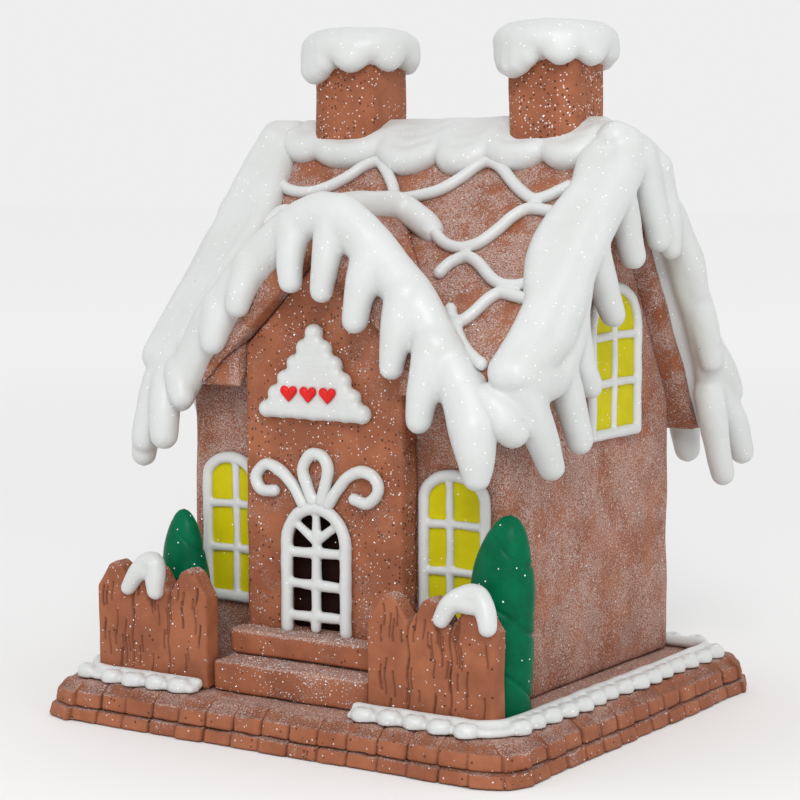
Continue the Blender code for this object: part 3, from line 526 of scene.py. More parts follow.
LEFT_DRIPS = (
    ((-55, -43, 102, 4.8), (-57.4, -46, 93, 4.4), (-58.4, -48, 85, 4), (-59, -49, 79, 3.6)),
    ((-56, -42, 100, 4.4), (-60, -45.4, 85, 3.8), (-61, -47.2, 74.6, 3.6)),
    ((-52, -44, 101, 4.8), (-51, -49, 92, 4.6), (-49.6, -51.4, 81, 4)),
)
PORCH_ROLL = ((-46.5, -48, 92, 4.2), (-44.5, -47.5, 98, 5.2), (-41.5, -47, 104, 5.6),
              (-34.7, -46.5, 114.5, 6.2), (-27, -46.3, 123.5, 6.3), (-19, -46.2, 131.8, 6.2),
              (-11, -46, 138.5, 6.2), (-3, -46, 143.2, 6.1), (3, -46, 145.4, 6.2), (9, -46, 144.6, 6.3),
              (15.4, -46, 139.6, 6.6), (22, -46, 132.8, 6.6), (31, -46, 124, 6.4), (37.6, -46, 115, 6.4),
              (44, -46.5, 105.8, 6.2), (50, -48, 97.4, 6.6), (54, -50, 89.4, 6.8), (55.5, -51, 82, 5.2),
              (55.5, -51, 76.3, 3.8))
PORCH_VEIL = ((-40, -44, 107, 5), (-28, -43, 121, 5), (-12, -42, 136, 5), (2, -41, 144.5, 4.6),
              (16, -42, 137, 5.4), (29, -43, 122.8, 5.2), (40.4, -43, 109.2, 5.2), (50, -44, 99.6, 5.6))
PORCH_RUN = ((3, -42, 145.4, 5), (1.6, -30, 146.4, 4.6), (1.6, -18, 146.8, 4.4), (4, -10, 146.8, 4.2),
             (9, -9.4, 144, 4.2), (14, -10.4, 141, 4), (16.6, -11.4, 139.4, 3.2))
PORCH_SPREAD = ((-3, -12, 146, 4.4), (-8, -6.4, 146, 3.8), (-11, -4, 146.6, 3.2))
PORCH_DRIPS = (
    ((-45.5, -48, 100, 5), (-44.6, -50, 95.5, 4.2), (-43.2, -51, 92.8, 3.7)),
    ((-31, -48, 119, 5.2), (-31.6, -50.4, 112, 4.2), (-32, -51, 108.6, 3.6)),
    ((-20, -48, 131, 5.2), (-21.8, -50.4, 124, 4.1), (-22.9, -51, 119.4, 3.4)),
    ((-5.6, -48, 141, 5), (-4.9, -50.6, 132, 3.8), (-4.5, -51, 126.4, 3.3)),
    ((7.6, -48, 142, 5), (6.8, -50.6, 131, 3.9), (6, -51, 124.2, 3.4)),
    ((20, -48, 133, 5.6), (18.4, -50.8, 124, 4.2), (17.3, -51.4, 116.6, 3.5)),
    ((31.5, -48, 123, 6), (30.2, -51, 112, 4.4), (29.1, -51.6, 104.2, 3.5)),
    ((41, -48.4, 110, 6.4), (39.4, -51.4, 99, 4.6), (38.1, -52, 90.4, 3.7)),
)


def drips_of(table):
    return [curved(spots, 3) for spots in table]


def porch_snow_chains():
    """Roll over the porch gable with its drips and the run of snow behind its peak."""
    return [PORCH_ROLL, PORCH_VEIL, curved(PORCH_RUN, 3), PORCH_SPREAD] + drips_of(PORCH_DRIPS)


def rake_snow_chains(side):
    """Blanket over one end of the main roof, both slopes, with the drips that hang past the end wall."""
    def place(x):
        return x if side > 0 else MIRROR_SUM - x

    def heap(y):
        """Extra height of a blanket: the left one is thick at the ridge, the right one falls off there."""
        return min(0, 1.6 - 0.27 * y) if side > 0 else min(2.4, max(-2.2, 1.8 + 0.2 * y))

    edge, width, crown_drop, softness = SNOW_ENDS[side]
    crown = RIDGE.z - crown_drop
    chains = []
    for share in (0, 0.3, 0.6, 0.8, 1):
        chains.append([(x + (width - x) * share, y,
                        front_plane(y, 0.6 - 1.6 * share) + heap(y) * (0.3 + 0.7 * share), 4.2 + 0.5 * share)
                       for x, y in curved(edge, 3)])
    for x, lift, r in ((56.5, 1.4, 4.4), (59.5, 1.8, 4.2), (62, 2.2, 3.6), (64, 2.4, 3.2)):
        top = crown - 0.16 * max(0, x - 58) ** 2 / softness
        slope = [(x, y + 0.86 * lift, back_plane(y) + 0.5 * lift, r) for y in (31, 50, 71)]
        chains.append([(x, 17.5, top, 4.7), (x, 21, top - 0.6, 4.7)] + slope)
    chains += RAKE_SHEETS
    if side > 0:
        chains += [[(61.6, -45, 104, 5.4), *curved(RIGHT_SKIRT, 3)], RIGHT_PALM]
    chains += drips_of(RAKE_DRIPS)
    if side > 0:
        chains += drips_of([RIGHT_DRIP]) + [RIGHT_BRIDGE]
    chains = [[(place(x), y, z, r) for x, y, z, r in chain] for chain in chains]
    return chains if side > 0 else chains + [LEFT_BRIDGE] + drips_of(LEFT_DRIPS)


SNOW_SWELL = 0.00025        # metres, what the smoothing takes off
RIDGE_SNOW_ENDS = (-49, 54)
RIDGE_LOBES = (     # from x to x, and the y on the front slope that the middle reaches down to
    (-50, -39.5, 11), (-39.5, -15.5, 9.2), (-15.5, 6, 7.2), (6, 22, 7.2), (22, 41.4, 8.4), (41.4, 55, 8.6),
)


def ridge_snow_chains():
    """Snow along the ridge: a roll with rounded lobes on the front slope, shallower lobes on the back one."""
    steep = math.atan(BACK_SLOPE)

    def down_back(reach):
        return RIDGE.y + reach * math.cos(steep), RIDGE.z - reach * math.sin(steep)

    chains = [[(x, y, RIDGE.z - drop, r) for x in RIDGE_SNOW_ENDS]
              for y, drop, r in ((20, 1.4, 3.8), (17, 2.8, 3.8), (14.4, 4.2, 3.5))]
    for start, end, depth in RIDGE_LOBES:
        lobe = []
        for k in range(9):
            bow = math.sin(math.pi * (k / 8)) ** 0.6
            y = 13.6 + (depth - 13.6) * bow
            lobe.append((start + (end - start) * (k / 8), y, front_plane(y) + 2, 3.4 + bow))
        chains.append(lobe)
        chains.append([(x, (y + 15) / 2, front_plane((y + 15) / 2) + 1.8, 3.8) for x, y, z, r in lobe])
    for reach in (4, 8):
        chains.append([(x, *down_back(reach), 3.8) for x in RIDGE_SNOW_ENDS])
    for x in range(-45, 55, 14):
        y, z = down_back(13 + 1.4 * math.sin(x))
        chains.append([(x - 4, y - 1, z + 1.6, 3.6), (x - 2, y, z, 4.2), (x + 2, y, z, 4.2),
                       (x + 4, y - 1, z + 1.6, 3.6)])
    return chains


CAP_LOBES = {       # middle and half width of each lobe in degrees round the cap, and how far it hangs
    "left": ((-122, 33, 12.8), (-66, 21, 9.6), (-22, 21, 9.2), (18, 18, 9), (56, 19, 9.8), (97, 20, 9),
             (138, 20, 10.4), (184, 22, 9.4)),
    "right": ((-115, 38, 12.6), (-56, 19, 9.4), (-18, 18, 9.2), (18, 18, 9), (55, 19, 10), (95, 20, 9),
              (135, 20, 10), (178, 24, 9.2)),
}


def cap_chains(x, side):
    """Snow cap of a chimney: a smooth dome whose skirt ends in broad, uneven lobes."""
    y, top = RIDGE.y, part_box("chimney_cap_" + side)[1].z / MM

    def ring(radius, level, r):
        return [(x + radius * math.cos(math.pi * k / 12), y + radius * math.sin(math.pi * k / 12), level, r)
                for k in range(25)]

    chains = [ring(8.6, top - 6.4, 6.4), ring(4.4, top - 6.4, 6.5), ring(11.4, top - 6, 5.6),
              ring(13.4, top - 6.4, 4.8), [(x, y, top - 7, 7.2)]]
    for middle, half, drop in CAP_LOBES[side]:
        for share in (-1, -0.5, 0, 0.5, 1):
            a = math.radians(middle + 0.6 * half * share)
            across, along = math.cos(a), math.sin(a)
            chains.append([(x + 13.6 * across, y + 13.6 * along, top - 6.8, 4.6),
                           (x + 14.9 * across, y + 14.9 * along, top - drop - 0.6 + 2.2 * share ** 2,
                            3.8 - 0.6 * abs(share))])
    return chains


def snow_piece(name, chains, shift, *nodes):
    thing = melted(name, chains, sizes().snow_grain, 9)
    along_normals(thing, lambda place, normal: SNOW_SWELL)
    lumpy(thing, 0.011, 0.00045, shift)
    lumpy(thing, 0.004, 0.0001, shift + 3)
    return done(thing, icing("snow icing", 0.03, 0.45, 0.1), "white_icing_clay", *nodes)


class DrapePorchSnow(bpy.types.Operator):
    """Drape the snow over the porch gable, with its drips"""
    bl_idname = "gingerbread.porch_snow"
    bl_label = "Porch snow"

    def execute(self, context):
        snow_piece("porch_snow_drape", porch_snow_chains(), 1.0, "porch_snow")
        return {"FINISHED"}


class DrapeRakeSnow(bpy.types.Operator):
    """Drape the snow over both ends of the main roof"""
    bl_idname = "gingerbread.rake_snow"
    bl_label = "Roof end snow"

    def execute(self, context):
        snow_piece("rake_snow_drape_right", rake_snow_chains(1), 2.0, "rake_snow_right")
        snow_piece("rake_snow_drape_left", rake_snow_chains(-1), 5.0, "rake_snow_left")
        return {"FINISHED"}


class DrapeTopSnow(bpy.types.Operator):
    """Lay the snow on the ridge and on the two chimneys"""
    bl_idname = "gingerbread.top_snow"
    bl_label = "Ridge and chimney snow"

    def execute(self, context):
        snow_piece("ridge_snow_lobes", ridge_snow_chains(), 7.0, "ridge_snow")
        for side, shift in (("left", 2.2), ("right", 4.0)):
            low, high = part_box("chimney_" + side)
            chains = cap_chains((low.x + high.x) / 2 / MM, side)
            snow_piece("chimney_snow_" + side, chains, shift, "chimney_cap_" + side)
        return {"FINISHED"}


# ---------------------------------------------------------------- piped icing

def wall_frame(side, face, outward):
    """Turns (across, up, out) in millimetres on a wall that faces along x or y, side 0 or 1, into a place."""
    def place(across, up, out, r):
        level = face + outward * out
        return (across, level, up, r) if side == 1 else (level, across, up, r)
    return place


on_porch = wall_frame(1, PORCH_FACE, -1)


def arch_points(middle, half, low, top, rise_share):
    """Outline of an arched opening, whose curved head is rise_share of its half width high."""
    rise = half * rise_share
    ring = [(middle + half * math.cos(math.pi * k / 14), top - rise + rise * math.sin(math.pi * k / 14))
            for k in range(15)]
    return [(middle - half, low), (middle + half, low)] + ring + [(middle - half, low)]


def window_chains(node, side, face, outward, rise_share, bar_shift):
    """Round the window an arch of rope, inside it one upright and two bars."""
    low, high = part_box(node)
    across = 1 - side
    r = sizes().window_rope / 2 / MM
    left, right = low[across] / MM + r, high[across] / MM - r
    sill, head = low.z / MM + r, high.z / MM - r
    middle, half = (left + right) / 2, (right - left) / 2
    place = wall_frame(side, face, outward)
    chains = [[place(a, u, 1.5, r * 1.02) for a, u in arch_points(middle, half, sill, head, rise_share)]]
    upright = middle + bar_shift
    chains.append([place(upright, sill, 1.3, r * 0.78),
                   place(upright + 0.3, (sill + head) / 2, 1.3, r * 0.72),
                   place(upright, head, 1.3, r * 0.78)])
    for share in (0.345, 0.665):
        height = sill + (head - sill) * share
        chains.append([place(left, height - 0.2, 1.3, r * 0.8), place(middle, height + 0.2, 1.3, r * 0.74),
                       place(right, height, 1.3, r * 0.8)])
    return chains


class PipeWindows(bpy.types.Operator):
    """Pipe the icing frames of all windows and colour their panes"""
    bl_idname = "gingerbread.windows"
    bl_label = "Windows"

    def execute(self, context):
        for node in nodes_named("window_"):
            if not node.endswith("_frame"):
                continue
            low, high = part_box(node)
            side = 0 if high.x - low.x < high.y - low.y else 1
            outward = 1 if low[side] > 0 else -1
            face = (BODY_HIGH if outward > 0 else BODY_LOW)[side] / MM
            shift = {"window_front_left_frame": 1.8, "window_front_right_frame": -1.6}.get(node, -0.4)
            chains = window_chains(node, side, face, outward, (0.85, 0.7)[side], shift)
            piped(node.replace("frame", "icing"), chains, (0.005, 0.0002, len(node)), node,
                  flatten=(side, face, 0.85))
            coloured(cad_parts[node.replace("frame", "pane")],
                     painted("window paint", colours().pane, 0.9, 0.5, 0.1, 2600.0, 0.1))
        return {"FINISHED"}


DOOR_ROPE = 1.9             # radius of the door's arch
DOOR_BARS = ((50.2, 0.3), (41, -0.2), (32, 0.2))    # height and tilt of the lattice's bars
DOOR_FAN = (38, 90, 142)    # degrees of the three ribs over the lattice


def door_chains():
    """Lattice of the door: arch, one upright, three bars and the fan."""
    low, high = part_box("door_lattice")
    r = DOOR_ROPE
    left, right = low.x / MM + r, high.x / MM - r
    sill, head = low.z / MM + 0.6, high.z / MM - r
    middle, half = (left + right) / 2, (right - left) / 2
    spring = head - half
    arch = [(middle - half * math.cos(math.pi * k / 14), spring + half * math.sin(math.pi * k / 14))
            for k in range(15)]
    chains = [[on_porch(a, u, 1.5, r) for a, u in ((left, sill), *arch, (right, sill))],
              [on_porch(middle - 0.3, sill + 0.4, 1.2, 1.6), on_porch(middle + 0.2, spring, 1.2, 1.5)]]
    for height, tilt in DOOR_BARS:
        chains.append([on_porch(left, height - tilt, 1.2, 1.5), on_porch(middle, height, 1.2, 1.65),
                       on_porch(right, height + tilt, 1.2, 1.5)])
    for angle in DOOR_FAN:
        a = math.radians(angle)
        chains.append([on_porch(middle, spring + 0.6, 1.2, 1.5),
                       on_porch(middle + half * math.cos(a), spring + half * math.sin(a), 1.2, 1.25)])
    return chains


SCROLLS = (         # (across, up) on the porch
    ("scroll_left", "door_curl_left", ((-5.6, 63.9), (-8.6, 68), (-12.3, 71.9), (-18, 74.3), (-22, 70.8),
                                       (-20.3, 66.9), (-15.6, 66.9))),
    ("scroll_loop", "door_loop", ((-2.4, 64.8), (-4.4, 69.4), (-5.6, 73.6), (-3.6, 77.4), (-0.8, 78.2),
                                  (1.8, 77), (3, 73.6), (1.9, 69), (0.6, 64.8))),
    ("scroll_right", "door_curl_right", ((3, 64.2), (6.4, 69), (9.6, 72.4), (14, 74.2), (18.4, 73),
                                         (19.8, 69.2), (16.2, 65.6), (11.8, 66.4))),
)


class PipeDoor(bpy.types.Operator):
    """Pipe the door's lattice and the scrolls over it"""
    bl_idname = "gingerbread.door"
    bl_label = "Door and scrolls"

    def execute(self, context):
        piped("door_icing", door_chains(), (0.005, 0.0002, 4.0), "door_lattice", flatten=(1, PORCH_FACE, 0.9))
        for name, node, route in SCROLLS:
            chain = [on_porch(a, u, 1.5, 1.8) for a, u in curved(route)]
            piped(name, [chain], (0.004, 0.0002, len(name)), node, flatten=(1, PORCH_FACE, 0.95))
        # the door_shade sheet is coloured near-black as painted shade inside the house
        coloured(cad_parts["door_shade"], painted("doorway", colours().dark, 0.6, 0.8, 0.05, 2000.0))
        return {"FINISHED"}


FRONT_LINES = (     # (x, y) on the front slope
    ((-53, 9), (-51, 6), (-45, 1.5), (-39.6, -0.2), (-33.5, -0.5), (-28, 1), (-22.8, 4), (-19.4, 7),
     (-15, 8.5), (-10.6, 6.1), (-5.2, 1.7), (-0.9, -2), (7.1, -1.1), (12.9, 0.7), (17.5, 4.1), (20.6, 7.3),
     (23.6, 8.4), (28.7, 6.7), (35.2, 2.5), (40.2, -0.3), (44.9, -2.2), (48.9, -1.3), (54, 1.4)),
    ((14.6, -8.9), (19.8, -12.8), (24.5, -14.9), (29.6, -15.6), (34.3, -14.2), (38.2, -10.5), (40.9, -6.9),
     (45.1, -4.7), (53, -5.6)),
    ((26.4, -22.4), (28.2, -19.7), (32.4, -18), (37.2, -19.5), (43.3, -23.1), (47.6, -24.8), (51.9, -25.2),
     (57, -24.4)),
    ((35.9, -31.7), (38.4, -34.2), (41.3, -34.6), (43.7, -32.4), (46, -29), (49, -27.1), (53.5, -27.7),
     (59, -28.6)),
    ((39.4, -35.2), (43.9, -39.4), (48.7, -42.6), (54, -45)),
    ((-48, -17), (-44.6, -11.6), (-42.4, -8.2), (-39.5, -5.8), (-36, -6.5), (-33, -10), (-28, -14),
     (-21, -12.5), (-15, -9.6)),
    ((-51, -24), (-44, -22), (-38, -18), (-31, -17.6), (-25, -21)),
    ((-51, -28), (-45, -26), (-40, -32), (-34, -30)),
)
BACK_WAVE = 38              # millimetres from crest to crest of the lines on the back slope


class PipeRoofLines(bpy.types.Operator):
    """Pipe the wavy icing lines on both slopes of the roof"""
    bl_idname = "gingerbread.roof_lines"
    bl_label = "Roof lines"

    def execute(self, context):
        r = sizes().line_rope / 2 / MM
        front = [[(x, y - 0.9, front_plane(y) + 0.9, r) for x, y in curved(route)] for route in FRONT_LINES]
        piped("roof_lines_front", front, None, *nodes_named("icing_line_front"))
        back = []
        for k, node in enumerate(nodes_named("icing_line_back")):
            low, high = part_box(node)
            middle = (low.y + high.y) / 2 / MM - 1.4
            line = []
            for x in range(-47, 53, 4):
                y = middle + 2.3 * math.cos(2 * math.pi * (x - 12 * (k % 2)) / BACK_WAVE)
                line.append((x, y + 1.1, back_plane(y) + 0.7, r))
            back.append(line)
        piped("roof_lines_back", back, None, *nodes_named("icing_line_back"))
        return {"FINISHED"}


class MakeSign(bpy.types.Operator):
    """Model the scalloped plaque and its three hearts"""
    bl_idname = "gingerbread.sign"
    bl_label = "Plaque"

    def execute(self, context):
        low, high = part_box("sign_plaque")
        left, right = low.x / MM + 2.6, high.x / MM - 2.6
        foot, peak = low.z / MM + 2.8, high.z / MM - 2.6
        middle = (left + right) / 2 + 0.1
        chains = []
        for k in range(15):
            share = k / 15
            half = (right - left) / 2 * (1 - share) - 1.2
            if half > 0:
                chains.append([on_porch(middle + way * half, foot + (peak - foot) * share, 1.6, 2.5)
                               for way in (-1, 1)])
        for start, end, count in (((left, foot), (middle, peak), 5), ((right, foot), (middle, peak), 5),
                                  ((left, foot), (right, foot), 6)):
            for k in range(count + 1):
                across, up = (a + (b - a) * (k / count) for a, b in zip(start, end))
                chains.append([on_porch(across, up, 1.5, 2.75)])
        piped("plaque", chains, (0.006, 0.0003, 9.0), "sign_plaque", calm=5, flatten=(1, PORCH_FACE, 0.95))
        red = painted("red motif", colours().motif, 0.8, 0.35, 0.25)
        for node in nodes_named("sign_heart"):
            low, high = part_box(node)
            x, z = (low.x + high.x) / 2 / MM, (low.z + high.z) / 2 / MM
            level, half = low.y / MM + 0.75, (high.x - low.x) / 2 / MM
            chains = [[(x + way * half * 0.5, level, z + half * 0.35, half * 0.48),
                       (x, level, z - half * 0.62, half * 0.16)] for way in (-1, 1)]
            heart = melted(node.replace("sign_heart", "heart"), chains, sizes().icing_grain * 0.55, 2,
                           (1, low.y / MM + 1.2, 0.75))
            done(heart, red, "red_clay", node)
        return {"FINISHED"}


# ---------------------------------------------------------------- slab and its rim

def way_round(half_x, half_y, corner):
    """Place and outward normal on a rounded rectangle by the way round it from the front's middle."""
    side_x, side_y, arc = half_x - corner, half_y - corner, corner * math.pi / 2
    total = 4 * (side_x + side_y + arc)
    runs = ((side_x, (0, -half_y), (1, 0), 0), (arc, (side_x, -side_y), None, -90),
            (2 * side_y, (half_x, -side_y), (0, 1), 0), (arc, (side_x, side_y), None, 0),
            (2 * side_x, (side_x, half_y), (-1, 0), 0), (arc, (-side_x, side_y), None, 90),
            (2 * side_y, (-half_x, side_y), (0, -1), 0), (arc, (-side_x, -side_y), None, 180),
            (side_x, (-side_x, -half_y), (1, 0), 0))

    def at(way):
        way %= total
        for stretch, start, along, facing in runs:
            if way <= stretch:
                break
            way -= stretch
        if along:
            return start[0] + along[0] * way, start[1] + along[1] * way, along[1], -along[0]
        a = math.radians(facing) + way / corner
        return start[0] + corner * math.cos(a), start[1] + corner * math.sin(a), math.cos(a), math.sin(a)
    return at, total


def cushion(cuts):
    """Points and faces of a soft-edged block that reaches from -1 to 1 each way."""
    deselect()
    bpy.ops.mesh.primitive_cube_add(size=1.0)
    block = bpy.context.active_object
    bpy.ops.object.mode_set(mode="EDIT")
    bpy.ops.mesh.subdivide(number_cuts=cuts)
    bpy.ops.object.mode_set(mode="OBJECT")
    puff = block.modifiers.new("puff", "SUBSURF")
    puff.levels = 1
    puff.render_levels = 1
    apply_modifiers(block)
    points, faces = taken_from(block)
    return points / np.abs(points).max(), faces


BRICKS = 62
BRICK_DEPTH = 9.0
SLAB_CORNER = 12
COURSES = (         # name, node, foot, head and how far the outer edge dips, in millimetres
    ("bricks_lower", "brick_course_lower", 0.0, 4.3, 0.3),
    ("bricks_upper", "brick_course_upper", 4.0, 10.9, 0.75),
)


class LaySlab(bpy.types.Operator):
    """Lay the brick edge of the slab, brick by brick, and its top plate"""
    bl_idname = "gingerbread.slab"
    bl_label = "Slab"

    def execute(self, context):
        points, faces = cushion(4)
        out = np.clip(points[:, 1], 0, 1)
        up = (points[:, 2] + 1) / 2
        draw = np.random.RandomState(11)
        for name, node, foot, head, dip in COURSES:
            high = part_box(node)[1] / MM
            outer, total = way_round(high.x, high.y, SLAB_CORNER)
            shape = points.copy()
            shape[:, 1] -= 0.2 * up * out
            shape[:, 2] -= dip * (out * out * (3 - 2 * out)) * up ** 2
            placements = []
            for k in range(BRICKS):
                x, y, nx, ny = outer((k + 0.5) * total / BRICKS)
                long = total / BRICKS * (0.98 + 0.05 * draw.rand()) / 2
                inset = BRICK_DEPTH / 2 + 0.8 * draw.rand() - 0.2
                tilt = 0.3 * (draw.rand() - 0.5)
                turn = np.array(((-ny * long, nx * BRICK_DEPTH / 2, 0), (nx * long, ny * BRICK_DEPTH / 2, 0),
                                 (tilt, 0, (head - foot) / 2))) * MM
                placements.append((turn, ((x - nx * inset) * MM, (y - ny * inset) * MM,
                                          (foot + head) / 2 * MM)))
            course = copies(name, shape, faces, placements)
            # painted shade where the bricks meet, stronger towards their outer face
            rim_share = np.maximum(np.abs(points[:, 0]), np.abs(points[:, 2]) * 0.98)
            joints = np.clip((rim_share - 0.86) / 0.14, 0, 1) * (0.15 + 0.5 * out)
            mark_carved(course, np.tile(joints, BRICKS))
            core = softened(name + "_core", node, 0.0016, -0.0012)
            activate(core)
            course.select_set(True)
            context.view_layer.objects.active = course
            bpy.ops.object.join()
            lumpy(course, 0.005, 0.00035, dip)
            lumpy(course, 0.0016, 0.00012, dip + 4)
            raised_to(course, 0.0)
            done(course, gingerbread("slab clay", 0.2, 0.5, 0.06), "gingerbread_clay", node)
        plate = softened("plate_clay", "base_plate", 0.001)
        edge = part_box("base_plate")[1]
        for vert in plate.data.vertices:
            margin = min(edge.x - abs(vert.co.x), edge.y - abs(vert.co.y)) / 0.0055
            vert.co.z -= 0.0026 * max(0.0, 1 - margin)
        lumpy(plate, 0.012, 0.0003, 2.0)
        done(plate, gingerbread("plate clay", 0.55, 0.2, 0.1), "gingerbread_clay", "base_plate")
        return {"FINISHED"}


RIM_SCALLOP, RIM_BAND, RIM_CORNER = 4.2, 3.2, 5
RIM_PITCH = 8.05
RIM_GAPS = (26.0, 29.0)     # from the front's middle to the rim's right and left end
RIM_ROPES = ((1.7, 2, 1.7), (3.2, 0.9, 1.6), (4.6, 0.6, 1.4))      # how far out, how high, radius


class PipeRim(bpy.types.Operator):
    """Pipe the icing rim: a raised inner ridge, a band and dimpled scallops"""
    bl_idname = "gingerbread.rim"
    bl_label = "Icing rim"

    def execute(self, context):
        low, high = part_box("rim_icing")
        at, total = way_round(high.x / MM - RIM_SCALLOP - RIM_BAND, high.y / MM - RIM_SCALLOP - RIM_BAND,
                              RIM_CORNER)
        start, end = RIM_GAPS[0], total - RIM_GAPS[1]
        foot = low.z / MM
        route = [at(start + (end - start) * i / 240) for i in range(241)]
        chains = [[(x + nx * out, y + ny * out, foot + up, r) for x, y, nx, ny in route]
                  for out, up, r in RIM_ROPES]
        count = round((end - start) / RIM_PITCH)
        centres = []
        for i in range(count):
            x, y, nx, ny = at(start + (end - start) * (i + 0.5) / count)
            out = 5 + 0.4 * math.sin(5 * i)
            tx, ty = -ny, nx
            spread = RIM_PITCH * 0.13 + 0.2 * math.sin(3 * i)
            chains.append([(x + nx * out - tx * spread, y + ny * out - ty * spread, foot + 1.1, 2.7),
                           (x + nx * (out + 0.4), y + ny * (out + 0.4), foot + 1.1, 2.9),
                           (x + nx * out + tx * spread, y + ny * out + ty * spread, foot + 1.1, 2.7)])
            centres.append((x + nx * (out - 0.5), y + ny * (out - 0.5)))
        thing = melted("rim_piping", chains, sizes().icing_grain * 1.2, 1)
        centres = np.array(centres) * MM

        def dimple(place, normal):
            if normal[2] < 0.3:
                return 0.0
            near = np.min(np.hypot(centres[:, 0] - place[0], centres[:, 1] - place[1]))
            return -0.0012 * math.exp(-(near / 0.0009) ** 2)

        along_normals(thing, dimple)
        lumpy(thing, 0.007, 0.0003, 6.0)
        raised_to(thing, low.z)
        done(thing, icing("piped icing"), "white_icing_clay", "rim_icing")
        return {"FINISHED"}


# ---------------------------------------------------------------- clay walls, roofs, steps, chimneys

class ShapeWalls(bpy.types.Operator):
    """Soften the clay walls, roofs, steps and chimneys and give them their baked, frosted surface"""
    bl_idname = "gingerbread.walls"
    bl_label = "Walls and roofs"

    def execute(self, context):
        grain = sizes().clay_grain
        roof = gingerbread("roof clay", 0.36, 0.1, 0.0, patches=80.0, contrast=1.7)
        wall = gingerbread("wall clay", 0.88, 0.2, 0.0, patches=75.0, contrast=0.75)
        chimney = gingerbread("chimney clay", 0.08, 0.3, 0.3)
        step = gingerbread("step clay", 0.3, 0.75, 0.06)
        plans = (
            ("wall_clay", "house_body", grain, wall, 0.0005),
            ("porch_clay", "porch_front", grain * 0.8, gingerbread("porch clay", 0.34, 0.3, 0.2), 0.0004),
            ("roof_clay_front", "roof_front", grain, roof, 0.0004),
            ("roof_clay_back", "roof_back", grain, roof, 0.0004),
            ("gable_clay", "roof_gable", grain, roof, 0.0004),
            ("chimney_clay_left", "chimney_left", grain * 0.7, chimney, 0.0005),
            ("chimney_clay_right", "chimney_right", grain * 0.7, chimney, 0.0005),
            ("step_clay_lower", "step_lower", grain * 0.6, step, 0.0004),
            ("step_clay_upper", "step_upper", grain * 0.6, step, 0.0004),
        )
        for k, (name, node, fineness, finish, depth) in enumerate(plans):
            thing = softened(name, node, fineness, 0.0014 if finish == chimney else 0.0)
            lumpy(thing, 0.013, depth, 3.0 * k)
            done(thing, finish, "gingerbread_clay", node)
        return {"FINISHED"}


DASHES = 44
FENCE_TICKS = {     # the icing over each fence's top
    "left": (((-54.4, -62.4, 38.2, 2.3), (-51.6, -62.2, 42.4, 2.8), (-48.6, -61, 45.4, 3.1),
              (-46, -60.8, 45.6, 3.2), (-45, -61.8, 42, 3), (-44.6, -62.4, 38, 2.6)),
             ((-50.4, -61.6, 43, 2.6), (-47, -61.2, 43.4, 2.8))),
    "right": (((51.8, -62.4, 40, 2.4), (54.4, -62, 44, 2.9), (58.4, -60.4, 46.6, 3.2),
               (61.8, -60.4, 46.6, 3.2), (64.6, -61.4, 43.4, 3), (66, -62.4, 39.4, 2.6)),
              ((56.6, -61.4, 44.6, 2.6), (62.6, -61.4, 44.4, 2.6))),
}


class CutFences(bpy.types.Operator):
    """Cut the picket fences with their carved dashes and lay the icing ticks on them"""
    bl_idname = "gingerbread.fences"
    bl_label = "Fences"

    def execute(self, context):
        draw = np.random.RandomState(5)
        for k, side in enumerate(("left", "right")):
            node = "fence_" + side
            low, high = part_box(node)
            thing = softened("fence_clay_" + side, node, 0.0003)
            pitch = (high.x - low.x) / 3
            joints = [low.x + pitch, low.x + 2 * pitch]
            dashes = []
            for _ in range(DASHES):
                foot = low.z + (0.05 + 0.7 * draw.rand()) * (high.z - low.z)
                dashes.append((low.x + (0.04 + 0.92 * draw.rand()) * (high.x - low.x), foot,
                               foot + (0.1 + 0.14 * draw.rand()) * (high.z - low.z)))

            def carve(place, normal):
                x, z = place[0] + 0.0003 * math.sin(place[2] * 600), place[2]
                if normal[1] > -0.5 and normal[2] < 0.5:
                    return 0.0
                depth = sum(0.0006 * math.exp(-((x - joint) / 0.0003) ** 2) for joint in joints)
                for line, foot, top in dashes:
                    if foot < z < top:
                        depth += 0.0006 * math.exp(-((x - line) / 0.00026) ** 2)
                return -min(depth, 0.0008)

            # painted shade in the joints and dashes, darker the deeper they are carved
            mark_carved(thing, [carve(vert.co, vert.normal) / -0.0009 for vert in thing.data.vertices])
            along_normals(thing, carve)
            lumpy(thing, 0.01, 0.0003, 4.0 + k)
            done(thing, gingerbread("fence clay", 0.12, 0.5, 0.03), "gingerbread_clay", node)
        for side, ticks in FENCE_TICKS.items():
            piped("fence_icing_" + side, [curved(part) for part in ticks], (0.005, 0.0003, 8.0),
                  "fence_snow_" + side, calm=6)
        return {"FINISHED"}


TREE_LEAN = {"left": 0.0, "right": 0.0046}
TREE_FLAT = 0.78            # half depth as a share of half width
TREE_TURNS = 3.2            # of the grooves round a tree from foot to top


